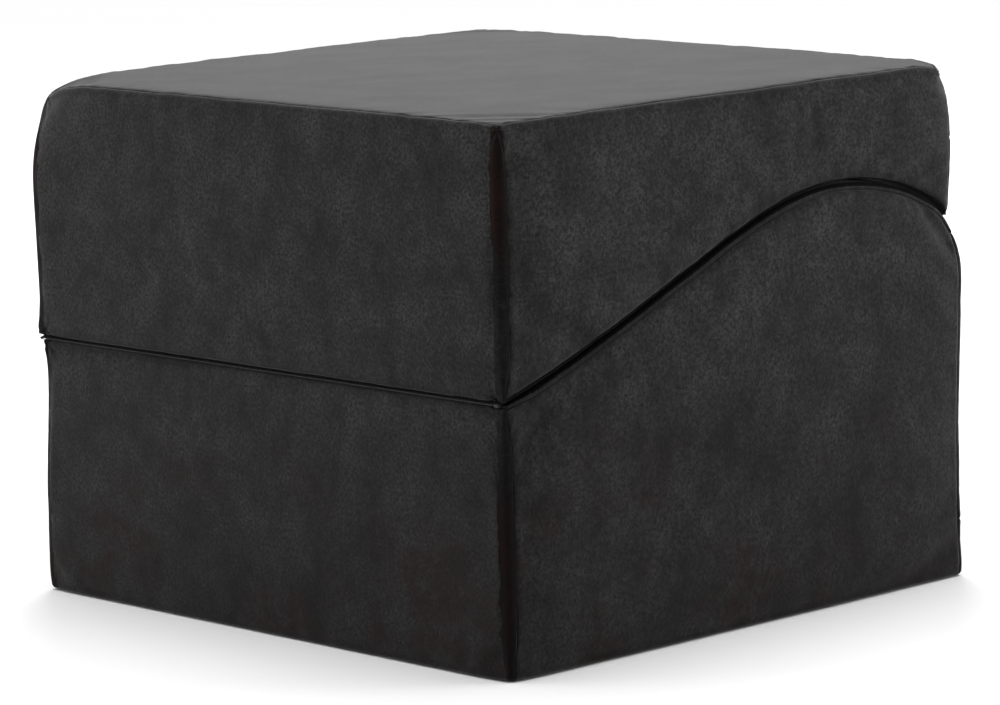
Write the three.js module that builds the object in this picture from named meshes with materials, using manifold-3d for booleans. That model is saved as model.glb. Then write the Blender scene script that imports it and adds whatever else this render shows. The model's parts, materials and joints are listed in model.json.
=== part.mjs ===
// Fold-out foam ottoman: two upholstered foam blocks that nest along a wave-shaped parting line.
// The upper block swings over a sewn fabric hinge along the front edge, turns half a turn and lies
// on the floor in front of the lower block, which makes a wave-shaped lounger.
// Millimetres, +Z up. X runs along the hinge, the hinge is at the front (-Y), and the origin is the
// middle of the underside.
import * as THREE from "three";
import { mergeVertices } from "three/addons/utils/BufferGeometryUtils.js";
import Module from "manifold-3d";

// ---- Driving dimensions ----
const WIDTH = 810; // along the hinge
const DEPTH = 760; // from the hinge face to the back
const HEIGHT = 620; // folded, floor to top

// The wave: where the two blocks part, seen from the side
const THIN_PART = 121; // the upper block's thickness over the crest
const CREST_TO_BACK = 219; // from the crest to the back face
const TAIL_DROP = 71; // from the crest down to the wave's back end
const TAIL_SLOPE = THREE.MathUtils.degToRad(34);
const RAMP_SLOPE = THREE.MathUtils.degToRad(17); // at the hinge
const WAVE_GAP = 4; // between the two faces of the wave when folded
const LOWER_BACK_ROUND = 46; // the lower block's top back edge
const UPPER_BACK_ROUND = 8; // the upper block's sharp bottom back edge

// Soft layers, from the outside in
const COVER = 2; // velvet with its bonded backing
const LINER = 0.8; // the tricot sock round the foam
const LAYER_GAP = 0.3; // between layers, and between panels where they are sewn
const LINER_BACK_GAP = 5.5; // room behind the back panels for the zip

// The fabric hinge
const HINGE_STAND_OFF = 1.5; // the fold line stands this far in front of the front faces
const HINGE_LEAF = 1.2; // thickness of the strip
const HINGE_LEAF_LENGTH = 35; // how far the strip is sewn in over each wave face
const HINGE_END_MARGIN = 6; // the strip stops this far short of each side

// The zips across the back panels
const LOWER_ZIP_HEIGHT = 70; // centre line above the floor
const UPPER_ZIP_DROP = 90; // centre line below the top
const ZIP_OPENING = 11; // between the two back panels
const TAPE_WIDTH = 14;
const TAPE_THICK = 0.6;
const TEETH_WIDTH = 2.6;
const TEETH_THICK = 2;
const TEETH_SLOT = 1.4; // between the two rows, where the slider's neck runs
const ZIP_STOP_LENGTH = 4;
const ZIP_END_MARGIN = 35; // from a side face to the end of the teeth
const SLIDER_LENGTH = 11;
const SLIDER_PLATE = 1.1;
const SLIDER_CLEARANCE = 0.4;
const SLIDER_NECK = 1;
const SLIDER_FLANGE = 1;
const CROWN_LENGTH = 6.4; // the arch on the slider that holds the pull
const CROWN_HEIGHT = 3.4;
const CROWN_BAR = 1;
const CROWN_WIDTH = 2;
const PULL_LENGTH = 28;
const PULL_WIDTH = 8;
const PULL_THICK = 1.2;
const PULL_HOLE_LENGTH = 4.6;
const PULL_END_BAR = 1.4; // the pull's bar under the crown, which it swings on

// ---- Worked out from them ----
const HINGE_HEIGHT = HEIGHT / 2; // so that the turned block lies on the floor
const CREST_HEIGHT = HEIGHT - THIN_PART;
const TAIL_HEIGHT = CREST_HEIGHT - TAIL_DROP;
const TAIL_STRAIGHT = 20; // the wave's last stretch before the back face
const LINER_INSET = COVER + LAYER_GAP;
const FOAM_INSET = LINER_INSET + LINER + LAYER_GAP;
const BACK_FACE = DEPTH / 2;

const SIDE_X = WIDTH / 2 - COVER / 2;
const BETWEEN_SIDES = WIDTH - 2 * (COVER + LAYER_GAP);

// ---- Materials ----
const fabric = (colour, roughness) =>
  new THREE.MeshStandardMaterial({ color: colour, roughness, metalness: 0 });
const velvet = fabric(0x2b2a2a, 0.95);
const gripCloth = fabric(0x161616, 0.8);
const tricot = fabric(0xd8d6d0, 0.9);
const foam = fabric(0xe6dcc0, 1);
const zipTape = fabric(0x141414, 0.85);
const zipNylon = new THREE.MeshStandardMaterial({ color: 0x101010, roughness: 0.45, metalness: 0 });
const zipMetal = new THREE.MeshStandardMaterial({ color: 0x2a2a2c, roughness: 0.35, metalness: 0.9 });

// ---- Solids ----
const wasm = await Module();
wasm.setup();

function solidOf(geometry) {
  const bare = geometry.clone();
  bare.deleteAttribute("normal");
  bare.deleteAttribute("uv");
  const merged = mergeVertices(bare, 1e-4);
  return new wasm.Manifold(
    new wasm.Mesh({
      numProp: 3,
      vertProperties: merged.attributes.position.array,
      triVerts: new Uint32Array(merged.index.array),
    }),
  );
}

function geometryOf(solid) {
  const mesh = solid.getMesh();
  const geometry = new THREE.BufferGeometry();
  geometry.setAttribute("position", new THREE.BufferAttribute(mesh.vertProperties, 3));
  geometry.setIndex(new THREE.BufferAttribute(mesh.triVerts, 1));
  geometry.computeVertexNormals();
  return geometry;
}

const joined = (...parts) => geometryOf(parts.map(solidOf).reduce((a, b) => a.add(b)));

const boxBetween = (low, high) => {
  const size = high.map((value, axis) => value - low[axis]);
  const middle = high.map((value, axis) => (value + low[axis]) / 2);
  return new THREE.BoxGeometry(...size).translate(...middle);
};

function named(name, geometry, material) {
  const mesh = new THREE.Mesh(geometry, material);
  mesh.name = name;
  return mesh;
}

// A side outline, drawn with x as the distance behind the hinge face and y as the height,
// becomes a solid of that outline, centred on X.
function acrossWidth(shape, width) {
  const axes = new THREE.Matrix4().makeBasis(
    new THREE.Vector3(0, 1, 0),
    new THREE.Vector3(0, 0, 1),
    new THREE.Vector3(1, 0, 0),
  );
  return new THREE.ExtrudeGeometry(shape, { depth: width, bevelEnabled: false, curveSegments: 6 })
    .translate(0, 0, -width / 2)
    .applyMatrix4(axes)
    .translate(0, -DEPTH / 2, 0);
}

// ---- The wave ----
const crest = new THREE.Vector2(DEPTH - CREST_TO_BACK, CREST_HEIGHT);
const tailStart = new THREE.Vector2(
  DEPTH - TAIL_STRAIGHT,
  TAIL_HEIGHT + TAIL_STRAIGHT * Math.tan(TAIL_SLOPE),
);
const RAMP_HANDLE = 0.46 * crest.x;
const CREST_FRONT_HANDLE = 0.24 * crest.x;
const CREST_BACK_HANDLE = 0.44 * (tailStart.x - crest.x);
const TAIL_HANDLE = 0.26 * (tailStart.x - crest.x);
const END_RUN = 60; // straight run past each end, so that an offset still reaches the faces

function waveLine() {
  const hinge = new THREE.Vector2(0, HINGE_HEIGHT);
  const ramp = new THREE.Vector2(1, Math.tan(RAMP_SLOPE));
  const tail = new THREE.Vector2(1, -Math.tan(TAIL_SLOPE));
  const rise = new THREE.CubicBezierCurve(
    hinge,
    hinge.clone().addScaledVector(ramp, RAMP_HANDLE),
    new THREE.Vector2(crest.x - CREST_FRONT_HANDLE, crest.y),
    crest,
  );
  const fall = new THREE.CubicBezierCurve(
    crest,
    new THREE.Vector2(crest.x + CREST_BACK_HANDLE, crest.y),
    tailStart.clone().addScaledVector(tail, -TAIL_HANDLE),
    tailStart,
  );
  const before = hinge.clone().addScaledVector(ramp, -END_RUN);
  const after = tailStart.clone().addScaledVector(tail, END_RUN + TAIL_STRAIGHT);
  return [before, ...rise.getPoints(20), ...fall.getPoints(14).slice(1), after];
}
const WAVE = waveLine();

// The wave moved square to itself by `offset`, upwards if positive, cut to the depths `from` to `to`.
function wave(offset, from, to) {
  const moved = WAVE.map((point, i) => {
    const run = WAVE[Math.min(i + 1, WAVE.length - 1)].clone().sub(WAVE[Math.max(i - 1, 0)]);
    return point.clone().addScaledVector(new THREE.Vector2(-run.y, run.x).normalize(), offset);
  });
  const heightAt = (x) => {
    const i = moved.findIndex((point) => point.x >= x);
    const [a, b] = [moved[i - 1], moved[i]];
    return a.y + ((b.y - a.y) * (x - a.x)) / (b.x - a.x);
  };
  const inside = moved.filter((point) => point.x > from + 0.5 && point.x < to - 0.5);
  return [
    new THREE.Vector2(from, heightAt(from)),
    ...inside,
    new THREE.Vector2(to, heightAt(to)),
  ];
}

// The same line with its back end rounded into the vertical back face at `to`.
// `turn` is -1 where the back face runs down from the corner and 1 where it runs up.
function roundedWave(offset, from, to, radius, turn) {
  const corner = wave(offset, from, to).at(-1);
  const halfCorner = (Math.PI / 2 - turn * TAIL_SLOPE) / 2;
  const reach = radius / Math.tan(halfCorner);
  const start = wave(offset, from, to - reach * Math.cos(TAIL_SLOPE));
  const end = new THREE.Vector2(to, corner.y + turn * reach);
  const bend = new THREE.QuadraticBezierCurve(start.at(-1), corner, end);
  return [...start, ...bend.getPoints(6).slice(1)];
}

// One face of the wave, `inset` under the cover's outer face, with the back end at `backInset`.
const lowerWave = (inset, backInset) =>
  roundedWave(-WAVE_GAP / 2 - inset, inset, DEPTH - backInset, LOWER_BACK_ROUND - inset, -1);
const upperWave = (inset, backInset) =>
  roundedWave(WAVE_GAP / 2 + inset, inset, DEPTH - backInset, UPPER_BACK_ROUND - inset, 1);

// A block's side outline, `inset` inside its cover.
function blockOutline(block, inset, backInset = inset) {
  const flat = block.flatHeight - block.towardsWave * -inset;
  const corners = [
    new THREE.Vector2(DEPTH - backInset, flat),
    new THREE.Vector2(inset, flat),
  ];
  return new THREE.Shape([...block.wave(inset, backInset), ...corners]);
}

// What differs between the two blocks. towardsWave is 1 where the wave lies above the flat face.
const LOWER = {
  name: "lower",
  flatHeight: 0,
  towardsWave: 1,
  wave: lowerWave,
  flatPanel: "lower_base_panel",
  flatMaterial: gripCloth,
  zipHeight: LOWER_ZIP_HEIGHT,
};
const UPPER = {
  name: "upper",
  flatHeight: HEIGHT,
  towardsWave: -1,
  wave: upperWave,
  flatPanel: "upper_top_panel",
  flatMaterial: velvet,
  zipHeight: HEIGHT - UPPER_ZIP_DROP,
};

// ---- Foam and liner ----
function foamCore(block) {
  const outline = blockOutline(block, FOAM_INSET, LINER_BACK_GAP + LAYER_GAP);
  return named(`${block.name}_foam_core`, acrossWidth(outline, WIDTH - 2 * FOAM_INSET), foam);
}

// A sock, open at the back, where the foam goes in.
function liner(block) {
  const inner = LINER_INSET + LINER;
  const outside = acrossWidth(
    blockOutline(block, LINER_INSET, LINER_BACK_GAP),
    WIDTH - 2 * LINER_INSET,
  );
  const hollow = acrossWidth(blockOutline(block, inner, 0), WIDTH - 2 * inner);
  const mouthCut = hollow.clone().translate(0, LINER_BACK_GAP, 0);
  const sock = solidOf(outside).subtract(solidOf(hollow)).subtract(solidOf(mouthCut));
  return named(`${block.name}_liner`, geometryOf(sock), tricot);
}

// ---- Cover panels ----
function sidePanel(block, side) {
  const panel = named(
    `${block.name}_${side < 0 ? "left" : "right"}_side_panel`,
    acrossWidth(blockOutline(block, 0), COVER),
    velvet,
  );
  panel.position.x = side * SIDE_X;
  return panel;
}

function wavePanel(block) {
  const outer = block.wave(0, 0);
  const inner = block.wave(COVER, COVER);
  const outline = new THREE.Shape([...outer, ...inner.reverse()]);
  return named(`${block.name}_wave_panel`, acrossWidth(outline, BETWEEN_SIDES), velvet);
}

function flatPanel(block) {
  const inside = block.flatHeight + block.towardsWave * COVER;
  const [low, high] = [block.flatHeight, inside].sort((a, b) => a - b);
  const panel = boxBetween(
    [-BETWEEN_SIDES / 2, -DEPTH / 2, low],
    [BETWEEN_SIDES / 2, DEPTH / 2, high],
  );
  return named(block.flatPanel, panel, block.flatMaterial);
}

// An upright panel between the flat panel and the wave panel, at the depth `from` to `from + COVER`.
function uprightPanel(name, from, low, high) {
  const panel = boxBetween(
    [-BETWEEN_SIDES / 2, from, low],
    [BETWEEN_SIDES / 2, from + COVER, high],
  );
  return named(name, panel, velvet);
}

function frontPanel(block) {
  const inFromFlat = block.flatHeight + block.towardsWave * (COVER + LAYER_GAP);
  const wavePanelInside = wave(-block.towardsWave * (WAVE_GAP / 2 + COVER), 0, COVER);
  const heights = wavePanelInside.map((point) => point.y);
  const nearest = block.towardsWave > 0 ? Math.min(...heights) : Math.max(...heights);
  const atWave = nearest - block.towardsWave * LAYER_GAP;
  const [low, high] = [inFromFlat, atWave].sort((a, b) => a - b);
  return uprightPanel(`${block.name}_front_panel`, -DEPTH / 2, low, high);
}

// Two panels, one above and one below the zip.
function backPanels(block) {
  const inFromFlat = block.flatHeight + block.towardsWave * (COVER + LAYER_GAP);
  const atWave = block.wave(0, 0).at(-1).y - block.towardsWave * LAYER_GAP;
  const [low, high] = [inFromFlat, atWave].sort((a, b) => a - b);
  const half = ZIP_OPENING / 2;
  const from = BACK_FACE - COVER;
  return [
    uprightPanel(`${block.name}_back_panel_low`, from, low, block.zipHeight - half),
    uprightPanel(`${block.name}_back_panel_high`, from, block.zipHeight + half, high),
  ];
}

// ---- Fabric hinge ----
// Half of the strip that joins the two covers, sewn in over one face of the wave.
function hingeLeaf(block) {
  const side = -block.towardsWave;
  const fold = side * (LAYER_GAP / 2);
  const near = wave(fold, 0, HINGE_LEAF_LENGTH);
  const far = wave(fold + side * HINGE_LEAF, 0, HINGE_LEAF_LENGTH);
  const outline = new THREE.Shape([...near, ...far.reverse()]);
  const strip = acrossWidth(outline, WIDTH - 2 * HINGE_END_MARGIN);
  return named(`${block.name}_hinge_leaf`, strip, zipTape);
}

// ---- Zip ----
// Everything in a zip is drawn about its own centre line: X along it, Y out of the back face.
const TAPE_OUT = -COVER - LAYER_GAP; // the tapes lie behind the back panels
const TEETH_BACK = TAPE_OUT + LAYER_GAP;
const TEETH_OUT = TEETH_BACK + TEETH_THICK;
const TEETH_LENGTH = WIDTH - 2 * ZIP_END_MARGIN;
const TEETH_EDGE = TEETH_SLOT / 2 + TEETH_WIDTH;
const SLIDER_START = TEETH_LENGTH / 2 - SLIDER_LENGTH;
const SLIDER_TOP = TEETH_OUT + SLIDER_CLEARANCE + SLIDER_PLATE;
const PULL_AXIS_OUT = SLIDER_TOP + (CROWN_HEIGHT - CROWN_BAR) / 2;

function zipTapeHalf(name, up) {
  const edges = [TEETH_SLOT / 2, TEETH_SLOT / 2 + TAPE_WIDTH].map((z) => up * z);
  const [low, high] = edges.sort((a, b) => a - b);
  const half = BETWEEN_SIDES / 2 - LAYER_GAP;
  return named(
    name,
    boxBetween([-half, TAPE_OUT - TAPE_THICK, low], [half, TAPE_OUT, high]),
    zipTape,
  );
}

function zipTeethHalf(name, up) {
  const [low, high] = [TEETH_SLOT / 2, TEETH_EDGE].map((z) => up * z).sort((a, b) => a - b);
  const half = TEETH_LENGTH / 2;
  return named(
    name,
    boxBetween([-half, TEETH_BACK, low], [half, TEETH_OUT, high]),
    zipNylon,
  );
}

function zipStop(name, side) {
  const near = TEETH_LENGTH / 2 + LAYER_GAP;
  const [low, high] = [near, near + ZIP_STOP_LENGTH].map((x) => side * x).sort((a, b) => a - b);
  return named(
    name,
    boxBetween([low, TEETH_BACK, -TEETH_EDGE], [high, TEETH_OUT, TEETH_EDGE]),
    zipMetal,
  );
}

// Two plates round the teeth, a neck between the rows, side flanges, and the crown for the pull.
function sliderGeometry() {
  const half = SLIDER_LENGTH / 2;
  const side = TEETH_EDGE + SLIDER_CLEARANCE;
  const wide = side + SLIDER_FLANGE;
  const outerPlate = TEETH_OUT + SLIDER_CLEARANCE;
  const innerPlate = TAPE_OUT - TAPE_THICK - SLIDER_CLEARANCE;
  const flangeFoot = TAPE_OUT + 2 * LAYER_GAP;
  const crownFoot = CROWN_LENGTH / 2 - CROWN_BAR;
  const crownTop = SLIDER_TOP + CROWN_HEIGHT;
  const bite = 0.2; // the pieces run into each other by this much before they are joined
  const post = (from, to) =>
    boxBetween([from, SLIDER_TOP - bite, -CROWN_WIDTH / 2], [to, crownTop, CROWN_WIDTH / 2]);
  return joined(
    boxBetween([-half, outerPlate, -wide], [half, SLIDER_TOP, wide]),
    boxBetween([-half, innerPlate - SLIDER_PLATE, -wide], [half, innerPlate, wide]),
    boxBetween(
      [-half / 2, innerPlate - bite, -SLIDER_NECK / 2],
      [half / 2, outerPlate + bite, SLIDER_NECK / 2],
    ),
    boxBetween([-half, flangeFoot, -wide], [half, outerPlate + bite, -side]),
    boxBetween([-half, flangeFoot, side], [half, outerPlate + bite, wide]),
    post(-CROWN_LENGTH / 2, -crownFoot),
    post(crownFoot, CROWN_LENGTH / 2),
    boxBetween(
      [-CROWN_LENGTH / 2, crownTop - CROWN_BAR, -CROWN_WIDTH / 2],
      [CROWN_LENGTH / 2, crownTop, CROWN_WIDTH / 2],
    ),
  );
}

// A flat tab with a slot at its end. The bar past the slot sits under the slider's crown.
function pullGeometry() {
  const end = PULL_END_BAR / 2;
  const radius = PULL_WIDTH / 2;
  const outline = new THREE.Shape();
  outline.moveTo(end, -radius * 0.75);
  outline.lineTo(end, radius * 0.75);
  outline.lineTo(-PULL_LENGTH / 3, radius * 0.8);
  outline.lineTo(-PULL_LENGTH + radius, radius);
  outline.absarc(-PULL_LENGTH + radius, 0, radius, Math.PI / 2, (3 * Math.PI) / 2, false);
  outline.lineTo(-PULL_LENGTH / 3, -radius * 0.8);
  outline.closePath();
  const slotHalf = CROWN_WIDTH / 2 + SLIDER_CLEARANCE;
  const slot = new THREE.Path();
  slot.moveTo(-end, -slotHalf);
  slot.lineTo(-end - PULL_HOLE_LENGTH, -slotHalf);
  slot.lineTo(-end - PULL_HOLE_LENGTH, slotHalf);
  slot.lineTo(-end, slotHalf);
  slot.closePath();
  outline.holes.push(slot);
  return new THREE.ExtrudeGeometry(outline, { depth: PULL_THICK, bevelEnabled: false })
    .translate(0, 0, -PULL_THICK / 2)
    .rotateX(Math.PI / 2);
}

function zip(block) {
  const name = (piece) => `${block.name}_zip_${piece}`;
  const slider = named(name("slider"), sliderGeometry(), zipMetal);
  slider.position.x = SLIDER_START;
  const pull = named(name("pull"), pullGeometry(), zipMetal);
  pull.position.set(SLIDER_START, PULL_AXIS_OUT, 0);
  const group = new THREE.Group();
  group.add(
    zipTapeHalf(name("tape_high"), 1),
    zipTapeHalf(name("tape_low"), -1),
    zipTeethHalf(name("teeth_high"), 1),
    zipTeethHalf(name("teeth_low"), -1),
    zipStop(name("stop_left"), -1),
    zipStop(name("stop_right"), 1),
    slider,
    pull,
  );
  group.position.set(0, BACK_FACE, block.zipHeight);
  return group;
}

// ---- The two blocks ----
function upholsteredBlock(block) {
  const group = new THREE.Group();
  group.add(
    foamCore(block),
    liner(block),
    flatPanel(block),
    frontPanel(block),
    sidePanel(block, -1),
    sidePanel(block, 1),
    wavePanel(block),
    ...backPanels(block),
    hingeLeaf(block),
    zip(block),
  );
  return group;
}

const ottoman = new THREE.Group();
ottoman.add(upholsteredBlock(LOWER), upholsteredBlock(UPPER));
// The upper block's turning line, for whoever animates it: along X through this point.
ottoman.userData.hinge = [0, -DEPTH / 2 - HINGE_STAND_OFF, HINGE_HEIGHT];

export default ottoman;
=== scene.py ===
"""Looks of the fold-out foam ottoman: velvet covers, foam, liners, zips and fabric hinge.

Two foam blocks in velvet covers nest along a wave and fold out over a fabric hinge. Each cover is
sewn from separate panels, and every piece stands on the fixed frame that is loaded first.
All lengths are in metres. X runs along the hinge, the hinge is at the front (-Y), and +Z is up.
"""

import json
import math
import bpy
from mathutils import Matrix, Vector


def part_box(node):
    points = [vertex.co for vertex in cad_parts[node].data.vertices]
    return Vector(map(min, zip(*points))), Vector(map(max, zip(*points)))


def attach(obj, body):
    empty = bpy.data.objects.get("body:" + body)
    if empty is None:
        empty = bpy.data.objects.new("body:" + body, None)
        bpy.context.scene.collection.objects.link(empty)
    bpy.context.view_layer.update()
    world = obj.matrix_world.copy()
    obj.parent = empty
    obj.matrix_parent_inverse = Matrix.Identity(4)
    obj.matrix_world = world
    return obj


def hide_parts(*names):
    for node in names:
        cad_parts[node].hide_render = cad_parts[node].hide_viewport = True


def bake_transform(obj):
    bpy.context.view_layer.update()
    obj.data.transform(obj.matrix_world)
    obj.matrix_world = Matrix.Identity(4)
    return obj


bl_info = {
    "name": "Fold-out foam ottoman",
    "version": (1, 0, 0),
    "blender": (4, 5, 0),
    "location": "3D View > Sidebar > Ottoman",
    "description": "Builds the velvet covers, foam, zips and fabric hinge of a fold-out ottoman",
    "category": "Object",
}

import bpy
import numpy as np
from bpy.props import FloatProperty, FloatVectorProperty, PointerProperty
from mathutils import Matrix, Vector
from mathutils.kdtree import KDTree

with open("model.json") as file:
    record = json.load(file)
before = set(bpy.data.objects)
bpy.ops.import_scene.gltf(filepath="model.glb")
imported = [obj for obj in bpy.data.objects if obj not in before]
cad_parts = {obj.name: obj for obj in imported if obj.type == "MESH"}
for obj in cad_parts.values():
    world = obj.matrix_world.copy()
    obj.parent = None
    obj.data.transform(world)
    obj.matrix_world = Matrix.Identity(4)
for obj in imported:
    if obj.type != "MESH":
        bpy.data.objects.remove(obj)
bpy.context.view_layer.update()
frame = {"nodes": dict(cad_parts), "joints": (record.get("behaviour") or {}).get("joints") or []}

MM = 0.001
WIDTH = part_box("upper_right_side_panel")[1].x * 2
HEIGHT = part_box("upper_top_panel")[1].z
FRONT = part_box("upper_front_panel")[0].y
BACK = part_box("upper_back_panel_high")[1].y
BLOCKS = ("lower", "upper")
BODY = {block: f"{block}_block" for block in BLOCKS}
JOINTS = {joint["name"]: joint for joint in frame["joints"]}
HINGE_LINE = Vector(JOINTS["fold_out"]["pos_m"])

# Logical rows of a cover's grid
BAND = 3  # rows on each side of an edge's middle line
EDGE_STEPS = (2 * MM, 3 * MM, 5 * MM, 7 * MM)  # row spacing next to a seam
ROW = 9 * MM  # row spacing away from seams
ZIP_END = 376 * MM  # where the slit between the two back panels ends, from the middle
OPENING = "zip_opening"  # the slit, named like a panel
SIM_FRAMES = 20


# ---------------------------------------------------------------- settings
class OttomanShape(bpy.types.PropertyGroup):
    """Sizes of the soft shapes that a user might change."""

    edge_radius: FloatProperty(
        name="Edge radius",
        description="Rounding of the foam's edges under the cover",
        default=11 * MM,
        unit="LENGTH",
    )
    crest_edge_radius: FloatProperty(
        name="Crest edge radius",
        description="Rounding along the side edges of the lower block's wave",
        default=6.5 * MM,
        unit="LENGTH",
    )
    hollow_edge_radius: FloatProperty(
        name="Hollow edge radius",
        description="Rounding along the side edges of the upper block's wave",
        default=3.2 * MM,
        unit="LENGTH",
    )
    top_edge_radius: FloatProperty(
        name="Top edge radius",
        description="Rounding round the flat top",
        default=6 * MM,
        unit="LENGTH",
    )
    base_edge_radius: FloatProperty(
        name="Base edge radius",
        description="Rounding of the lower edges, pressed flat by the weight",
        default=6 * MM,
        unit="LENGTH",
    )
    hinge_edge_radius: FloatProperty(
        name="Hinge edge radius",
        description="Rounding of the two edges that meet at the hinge",
        default=2.6 * MM,
        unit="LENGTH",
    )
    crown: FloatProperty(
        name="Crown",
        description="How far the pressed cover may swell in the middle of a face",
        default=7 * MM,
        unit="LENGTH",
    )
    seam_depth: FloatProperty(
        name="Seam depth",
        description="Depth of the groove along a seam",
        default=0.7 * MM,
        unit="LENGTH",
    )
    pucker: FloatProperty(
        name="Pucker",
        description="Height of the small gathers that the stitches pull along a seam",
        default=0.55 * MM,
        unit="LENGTH",
    )


class OttomanColours(bpy.types.PropertyGroup):
    """Colours of the materials, in linear values."""

    velvet: FloatVectorProperty(
        name="Velvet",
        description="The pile's own colour, seen straight on",
        subtype="COLOR",
        size=3,
        default=(0.0155, 0.0155, 0.0155),
        min=0,
        max=1,
    )
    velvet_warm: FloatVectorProperty(
        name="Velvet, brushed against the nap",
        description="The warmer dark of the pile where it is brushed the other way",
        subtype="COLOR",
        size=3,
        default=(0.0165, 0.0040, 0.0037),
        min=0,
        max=1,
    )
    thread: FloatVectorProperty(
        name="Bar-tack thread",
        description="The pale thread at the ends of the hinge",
        subtype="COLOR",
        size=3,
        default=(0.13, 0.125, 0.12),
        min=0,
        max=1,
    )
    foam: FloatVectorProperty(
        name="Foam",
        description="Open-cell foam",
        subtype="COLOR",
        size=3,
        default=(0.74, 0.66, 0.46),
        min=0,
        max=1,
    )


class OttomanStage(bpy.types.PropertyGroup):
    """The studio round the object."""

    floor: FloatVectorProperty(
        name="Floor",
        description="Colour of the floor and backdrop",
        subtype="COLOR",
        size=3,
        default=(0.84, 0.84, 0.84),
        min=0,
        max=1,
    )
    light: FloatProperty(
        name="Light",
        description="Brightness of all the studio lights together",
        default=1.0,
        min=0,
        soft_max=4,
    )


def settings():
    return bpy.context.scene.ottoman_shape


def colours():
    return bpy.context.scene.ottoman_colours


# ---------------------------------------------------------------- small helpers
def smoothstep(low, high, value):
    t = np.clip((np.asarray(value, float) - low) / (high - low), 0, 1)
    return t * t * (3 - 2 * t)


def unit(vectors):
    length = np.linalg.norm(vectors, axis=-1, keepdims=True)
    return vectors / np.maximum(length, 1e-12)


def value_noise(points, scale, seed=0):
    """Smooth noise from -1 to 1 at each point, with features about `scale` metres apart."""
    p = np.asarray(points, float) / scale
    cell = np.floor(p).astype(np.int64)
    f = p - cell
    f = f * f * (3 - 2 * f)
    total = np.zeros(len(p))
    for corner in np.ndindex(2, 2, 2):
        c = cell + np.array(corner)
        # large factors scatter the corners of the cells
        h = c[:, 0] * 374761393 + c[:, 1] * 668265263 + c[:, 2] * 2147483647 + seed * 1274126177
        h = (h ^ (h >> 13)) * 1103515245 & 0x7FFFFFFF
        h = (h ^ (h >> 16)) & 0xFFFF
        weight = np.prod(np.where(np.array(corner), f, 1 - f), axis=1)
        total += weight * (h / 32767.5 - 1)
    return total


def waves(points, table):
    """Smooth noises on top of each other. The table holds each one's height, size and seed."""
    return sum(height * value_noise(points, size, seed) for height, size, seed in table)


def smoothstep_spread(count):
    """count + 1 shares from 0 to 1, closer at both ends."""
    t = np.linspace(0, 1, count + 1)
    return 0.5 * t + 0.5 * (t * t * (3 - 2 * t))


def graded(length, count):
    """count + 1 places from 0 to length, close together at both ends."""
    steps = np.array(EDGE_STEPS)
    if length < 4 * steps.sum() or count < 2 * len(steps) + 4:
        return length * smoothstep_spread(count)
    near = np.cumsum(steps)
    inner = np.linspace(near[-1], length - near[-1], count - 2 * len(steps) + 1)
    return np.concatenate([[0], near[:-1], inner, length - near[-2::-1], [length]])


def run_along(line):
    """How far along the line each of its points is."""
    return np.concatenate([[0], np.cumsum(np.linalg.norm(np.diff(line, axis=0), axis=1))])


def to_left(directions):
    """Flat directions turned a quarter turn to the left."""
    return np.stack([-directions[..., 1], directions[..., 0]], axis=-1)


def turned_out(vertices, faces):
    """The faces of a closed mesh, turned round if they look inwards."""
    return faces if signed_volume(vertices, faces) >= 0 else faces[:, ::-1]


def rows_for(length):
    return int(round((length - 2 * sum(EDGE_STEPS)) / ROW)) + 2 * len(EDGE_STEPS)


def new_object(name, vertices, faces, smooth=True):
    mesh = bpy.data.meshes.new(name)
    mesh.from_pydata(np.asarray(vertices).tolist(), [], [list(map(int, f)) for f in faces])
    mesh.validate()
    if smooth:
        mesh.shade_smooth()
    obj = bpy.data.objects.new(name, mesh)
    bpy.context.scene.collection.objects.link(obj)
    return obj


def get_points(mesh):
    co = np.empty(len(mesh.vertices) * 3, np.float32)
    mesh.vertices.foreach_get("co", co)
    return co.reshape(-1, 3).astype(float)


def get_normals(mesh):
    n = np.empty(len(mesh.vertices) * 3, np.float32)
    mesh.vertex_normals.foreach_get("vector", n)
    return n.reshape(-1, 3).astype(float)


def set_values(mesh, name, values):
    attribute = mesh.attributes.new(name, "FLOAT", "POINT")
    attribute.data.foreach_set("value", np.asarray(values, np.float32))


def set_vectors(mesh, name, vectors):
    attribute = mesh.attributes.new(name, "FLOAT_VECTOR", "POINT")
    attribute.data.foreach_set("vector", np.asarray(vectors, np.float32).ravel())


def applied(obj):
    """Puts the object's modifiers into its mesh."""
    bpy.context.view_layer.update()
    evaluated = obj.evaluated_get(bpy.context.evaluated_depsgraph_get())
    mesh = bpy.data.meshes.new_from_object(evaluated)
    obj.modifiers.clear()
    obj.data = mesh
    return obj


def subdivided(obj, levels=1):
    modifier = obj.modifiers.new("fine", "SUBSURF")
    modifier.levels = modifier.render_levels = levels
    modifier.boundary_smooth = "PRESERVE_CORNERS"
    return applied(obj)


# ---------------------------------------------------------------- outline of a block
def side_loop(node):
    """The flat side's outline as (depth, height) points, in order, from a CAD side panel."""
    mesh = frame["nodes"][node].data
    points = get_points(mesh)
    outer = points[:, 0].max()
    mesh.calc_loop_triangles()
    edges = {}
    for triangle in mesh.loop_triangles:
        corners = [points[i] for i in triangle.vertices]
        if min(c[0] for c in corners) < outer - 0.1 * MM:
            continue
        keys = [(round(c[1], 5), round(c[2], 5)) for c in corners]
        for a, b in zip(keys, keys[1:] + keys[:1]):
            if (b, a) in edges:
                del edges[(b, a)]
            else:
                edges[(a, b)] = True
    after = dict(edges.keys())
    loop = [next(iter(after))]
    while after[loop[-1]] != loop[0]:
        loop.append(after[loop[-1]])
    return np.array(loop)


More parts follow.
